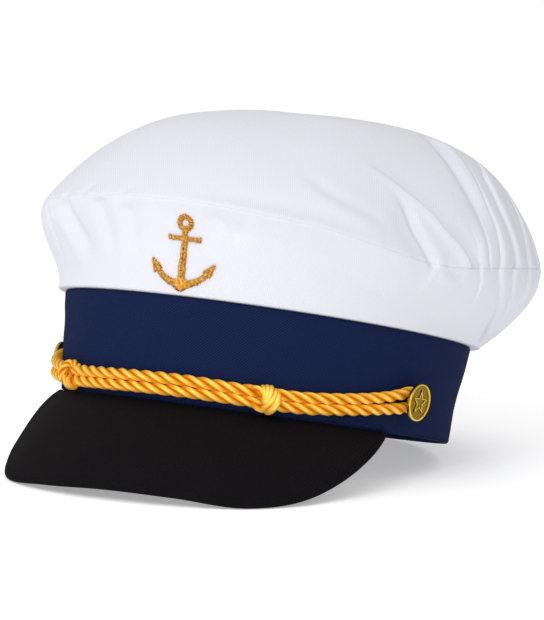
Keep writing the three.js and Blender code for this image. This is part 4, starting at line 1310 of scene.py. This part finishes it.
def anchor_strips():
    """Strips of satin stitch, each as its two edges, with how far the stitches lean."""
    strips = []
    ring, stock, shank, arms, fluke = ANCHOR_RING, ANCHOR_STOCK, ANCHOR_SHANK, ANCHOR_ARMS, ANCHOR_FLUKE
    a = np.linspace(0, 2 * math.pi, 61)
    around = np.stack([np.sin(a), np.cos(a)], -1)
    strips.append((around * ring["outer"] + [0, ring["y"]], around * ring["hole"] + [0, ring["y"]], 0.35))
    for side in (-1, 1):
        x = np.linspace(0.9 * side, stock["half_width"] * side, 20)
        half = stock["half"] * (1 + 0.25 * smoothstep(0.7, 1, np.abs(x) / stock["half_width"]))
        strips.append((np.stack([x, stock["y"] + half], -1), np.stack([x, stock["y"] - half], -1), 0.4))
        y = np.linspace(shank["high"], shank["low"], 30)
        half = np.interp(y, [shank["low"], shank["high"]], [shank["half_low"], shank["half_high"]])
        strips.append((np.stack([0 * y + 0.06 * side, y], -1), np.stack([half * side, y], -1), 0.75))
        t = np.linspace(0.02, 0.97, 40)
        a = np.radians(t * arms["spread"]) * side
        half = arms["half"] + (arms["half_crown"] - arms["half"]) * (1 - t) ** 2
        foot = np.clip(1 - np.abs(arms["radius"] * a) / ANCHOR_FOOT["width"], 0, 1) * ANCHOR_FOOT["height"]
        low, high = arms["radius"] + half + foot - 0.8 * (1 - t) ** 2, arms["radius"] - half
        strips.append((np.stack([low * np.sin(a), arms["centre"] - low * np.cos(a)], -1),
                       np.stack([high * np.sin(a), arms["centre"] - high * np.cos(a)], -1), 0.5))
        end = math.radians(arms["spread"])
        ahead = np.array([side * math.cos(end), math.sin(end)])
        away = np.array([side * math.sin(end), -math.cos(end)])
        tip = np.array([0, arms["centre"]]) + away * arms["radius"]
        t = np.linspace(0, 1, 16)[:, None]
        point = fluke["length"] * 0.8
        spine = tip + ahead * (-0.6 + t * (point + 0.6))
        barb = tip + ahead * (-1.7 + t * (point + 1.7))
        for hand in (-1, 1):
            strips.append((spine, barb + away * (hand * fluke["half"] * (1 - t) ** 0.8), -0.1))
    return strips


def lay_on_crown(flat, height, settings):
    """Puts flat points of the anchor on the front of the crown, so high above the cloth."""
    seam = float(crown_curve["seam"](ANCHOR["azimuth"]))
    per_degree = math.radians(BAND["half_width"] * BAND["flare"] + 5)
    azimuth = ANCHOR["azimuth"] + flat[..., 0] / per_degree
    level = (ANCHOR["foot"] - BAND["height"] + flat[..., 1]) / (seam - BAND["height"])
    return crown_point(azimuth, level, -(GAP + height), settings)


class CAP_OT_anchor(bpy.types.Operator):
    """Stitch the anchor on the front of the crown"""
    bl_idname = "object.cap_anchor"
    bl_label = "Anchor"

    def execute(self, context):
        settings, crown = context.scene.cap_anchor, context.scene.cap_crown
        rng = np.random.default_rng(3)
        weave = Weave()
        flats, heights, radii = [], [], []
        for first, second, lean in anchor_strips():
            self.pad(weave, first, second, settings, crown)
            self.satin(first, second, lean, settings, rng, flats, heights)
        self.crossed(settings, rng, flats, heights)
        flat, height = np.array(flats), np.array(heights)
        points = lay_on_crown(flat, height, crown)
        out = unit(lay_on_crown(flat, height + 1, crown) - points)
        for path, way in zip(points, out):
            ribbon_tube(weave, path, way, settings.thread / 2, 5)
        dress(weave.make("anchor_stitches"), gold_thread(settings), "anchor")
        return {"FINISHED"}

    def pad(self, weave, first, second, settings, crown):
        """The padding under a strip, so that no cloth shows between its stitches. Its cloth map sits where
        the thread's lines turn dark, so it is all painted shade.
        """
        u = np.array([0.02, 0.12, 0.3, 0.5, 0.7, 0.88, 0.98])
        top = settings.relief * 0.72 * np.sqrt(np.clip(1 - (2 * u - 1) ** 2, 0, 1)) - 0.12
        shares = np.concatenate([u, [0.9, 0.1]])
        heights = np.concatenate([top, [-0.22, -0.22]])
        flat = first[:, None] * (1 - shares[:, None]) + second[:, None] * shares[:, None]
        height = np.broadcast_to(heights, flat.shape[:2])
        closed = np.allclose(first[0], first[-1])
        sections = lay_on_crown(flat, height, crown)
        # The padding's whole cloth map is put on the dark part of the thread's lines: painted shade in the
        # gaps between stitches.
        gap_painted_shade = math.pi * settings.thread / (2 * MAP_MM)
        cloth = np.full((len(sections) + 1, len(shares) + 1, 2), gap_painted_shade)
        weave.tube(sections[:-1] if closed else sections, closed, cloth)

    def satin(self, first, second, lean, settings, rng, flats, heights):
        """Stitches side by side from one edge of a strip to the other."""
        middle = (first + second) / 2
        run = run_along(middle)
        count = max(4, int(run[-1] / settings.spacing))
        for i in range(count):
            at = (i + 0.5 + rng.uniform(-0.18, 0.18)) / count * run[-1]
            wide = np.hypot(*(np.array([np.interp(at, run, second[:, k] - first[:, k]) for k in (0, 1)])))
            shift = lean * wide / 2
            ends = []
            for edge, move in ((first, shift), (second, -shift)):
                where = min(max(at + move, 0), run[-1])
                ends.append(np.array([np.interp(where, run, edge[:, k]) for k in (0, 1)]))
            jut = rng.uniform(-0.1, 0.6, 2)
            across = (ends[1] - ends[0]) / (np.hypot(*(ends[1] - ends[0])) + 1e-9)
            start, stop = ends[0] - across * jut[0], ends[1] + across * jut[1]
            u = np.linspace(0, 1, 8)[:, None]
            flats.append(start * (1 - u) + stop * u)
            arch = np.sqrt(np.clip(1 - (2 * u[:, 0] - 1) ** 2, 0, 1))
            heights.append(-0.3 + (settings.relief + 0.22 + rng.uniform(-0.06, 0.06)) * arch)

    def crossed(self, settings, rng, flats, heights):
        """Short rows of stitches over the anchor's crown, where shank and arms meet."""
        for row in range(CROSSED["rows"]):
            y = CROSSED["low"] + row * CROSSED["step"]
            half = CROSSED["half"] - abs(y - CROSSED["middle"]) * CROSSED["slope"]
            x = -half + rng.uniform(0, 0.5)
            while x < half:
                length = rng.uniform(0.9, 1.5)
                u = np.linspace(0, 1, 8)[:, None]
                start = np.array([x, y + rng.uniform(-0.08, 0.08)])
                stop = start + [min(length, half - x + 0.2), rng.uniform(-0.1, 0.12)]
                flats.append(start * (1 - u) + stop * u)
                arch = np.sqrt(np.clip(1 - (2 * u[:, 0] - 1) ** 2, 0, 1))
                heights.append(settings.relief - 0.42 + 0.3 * arch)
                x += length * 0.82


# The stage. The daylight is brightest from one way, above and in front, and falls off to a
# dull share behind and below. The camera sees an even backdrop in its place. The key light's
# angles are in degrees, and its distance, its size and the height it aims at in metres.
FLOOR_SIZE = 9
BRIGHT_WAY = (0.0, -0.42, 0.9)
DULL_FROM, DULL, BRIGHT = -0.35, 0.1, 2.6
BACKDROP = 1.05
KEY = {"azimuth": 2, "elevation": 33, "far": 1.7, "size": 0.8, "aim": 0.07}


def way_to(azimuth, elevation):
    """The way to something seen from the cap, from its angles in degrees."""
    a, e = math.radians(azimuth), math.radians(elevation)
    return np.array([math.sin(a) * math.cos(e), -math.cos(a) * math.cos(e), math.sin(e)])


def camera_place():
    """The camera's place in the row frame, turned so that no shift is needed."""
    az, roll = math.radians(CAMERA["azimuth"]), math.radians(CAMERA["roll"])
    back = way_to(CAMERA["azimuth"], CAMERA["elevation"])
    right = np.array([math.cos(az), math.sin(az), 0])
    up = np.cross(back, right)
    x = right * math.cos(roll) + up * math.sin(roll)
    y = -right * math.sin(roll) + up * math.cos(roll)
    aside = (PICTURE[0] / 2 - RIM_MIDDLE[0]) / CAMERA["focal"]
    below = (PICTURE[1] / 2 - RIM_MIDDLE[1]) / CAMERA["focal"]
    ahead = unit(-back + x * aside - y * below)
    x = unit(x - ahead * (x @ ahead))
    axes = np.stack([x, np.cross(-ahead, x), -ahead], 1)
    turned = REST_TURN @ axes
    place = (REST_TURN @ (back * CAMERA["distance"]) + REST_AT) * 0.001
    return Matrix.Translation(Vector(place)) @ Matrix(turned.tolist()).to_4x4()


class CAP_OT_stage(bpy.types.Operator):
    """Set the floor, the lights and the camera"""
    bl_idname = "object.cap_stage"
    bl_label = "Stage"

    def execute(self, context):
        settings = context.scene.cap_stage
        self.floor(settings)
        self.lights(context, settings)
        self.camera(context)
        context.scene.view_settings.view_transform = "Standard"
        return {"FINISHED"}

    def floor(self, settings):
        only(None)
        bpy.ops.mesh.primitive_plane_add(size=FLOOR_SIZE, location=(0, 0, -0.0002))
        floor = bpy.context.object
        floor.name = floor.data.name = "floor"
        bpy.ops.object.transform_apply(location=True, rotation=True, scale=True)
        in_edit(floor, every_face, lambda: bpy.ops.mesh.subdivide(number_cuts=6))
        floor.data.materials.append(pale_floor(settings))

    def lights(self, context, settings):
        world = bpy.data.worlds.new("daylight")
        world.use_nodes = True
        tree, white = world.node_tree, (1, 1, 1, 1)
        places = add_node(tree, "ShaderNodeTexCoord", {})
        toward = add_node(tree, "ShaderNodeVectorMath",
                          {0: places.outputs["Generated"], 1: BRIGHT_WAY}, operation="DOT_PRODUCT")
        fall = add_node(tree, "ShaderNodeMapRange", {
            "Value": toward.outputs["Value"], "From Min": DULL_FROM, "From Max": 1.0,
            "To Min": settings.daylight * DULL, "To Max": settings.daylight * BRIGHT})
        sky = tree.nodes["Background"]
        sky.inputs["Color"].default_value = white
        tree.links.new(fall.outputs["Result"], sky.inputs["Strength"])
        backdrop = add_node(tree, "ShaderNodeBackground", {"Color": white, "Strength": BACKDROP})
        rays = add_node(tree, "ShaderNodeLightPath", {})
        seen = add_node(tree, "ShaderNodeMixShader", {
            0: rays.outputs["Is Camera Ray"], 1: sky.outputs[0], 2: backdrop.outputs[0]})
        tree.links.new(seen.outputs[0], tree.nodes["World Output"].inputs["Surface"])
        context.scene.world = world
        lamp = bpy.data.lights.new("key_light", "AREA")
        lamp.energy, lamp.size = settings.key, KEY["size"]
        light = bpy.data.objects.new("key_light", lamp)
        way = Vector(way_to(KEY["azimuth"], KEY["elevation"]))
        light.location = Vector((0, 0, KEY["aim"])) + way * KEY["far"]
        light.rotation_euler = way.to_track_quat("Z", "Y").to_euler()
        context.scene.collection.objects.link(light)

    def camera(self, context):
        lens = bpy.data.cameras.new("camera")
        lens.sensor_width = SENSOR
        lens.sensor_fit = "AUTO"
        lens.lens = CAMERA["focal"] * SENSOR / max(PICTURE)
        lens.clip_end = 50
        camera = bpy.data.objects.new("camera", lens)
        camera.matrix_world = camera_place()
        context.scene.collection.objects.link(camera)
        context.scene.camera = camera


class CAP_PT_panel(bpy.types.Panel):
    """Lists the pieces of the cap and their settings"""
    bl_idname = "CAP_PT_panel"
    bl_label = "Yachting cap"
    bl_space_type = "VIEW_3D"
    bl_region_type = "UI"
    bl_category = "Cap"

    def draw(self, context):
        for group, operators in PANEL_ROWS:
            box = self.layout.box()
            settings = getattr(context.scene, group)
            for name in settings.bl_rna.properties.keys():
                if name not in ("rna_type", "name"):
                    box.prop(settings, name)
            for operator in operators:
                box.operator(operator.bl_idname)


PANEL_ROWS = (
    ("cap_crown", (CAP_OT_crown,)), ("cap_band", (CAP_OT_band,)), ("cap_peak", (CAP_OT_peak,)),
    ("cap_cord", (CAP_OT_cord, CAP_OT_knots)), ("cap_button", (CAP_OT_buttons,)),
    ("cap_anchor", (CAP_OT_anchor,)), ("cap_stage", (CAP_OT_stage,)),
)
SETTINGS = {
    "cap_crown": CapCrownSettings, "cap_band": CapBandSettings, "cap_peak": CapPeakSettings,
    "cap_cord": CapCordSettings, "cap_button": CapButtonSettings, "cap_anchor": CapAnchorSettings,
    "cap_stage": CapStageSettings,
}
CLASSES = (*SETTINGS.values(), *(op for _, operators in PANEL_ROWS for op in operators), CAP_PT_panel)


def register():
    for each in CLASSES:
        bpy.utils.register_class(each)
    for name, group in SETTINGS.items():
        setattr(bpy.types.Scene, name, PointerProperty(type=group))


def unregister():
    for name in SETTINGS:
        delattr(bpy.types.Scene, name)
    for each in reversed(CLASSES):
        bpy.utils.unregister_class(each)


def main():
    register()
    bpy.ops.object.cap_stage()
    bpy.ops.object.cap_crown()
    bpy.ops.object.cap_band()
    bpy.ops.object.cap_peak()
    bpy.ops.object.cap_cord()
    bpy.ops.object.cap_knots()
    bpy.ops.object.cap_buttons()
    bpy.ops.object.cap_anchor()


if __name__ == "__main__":
    main()
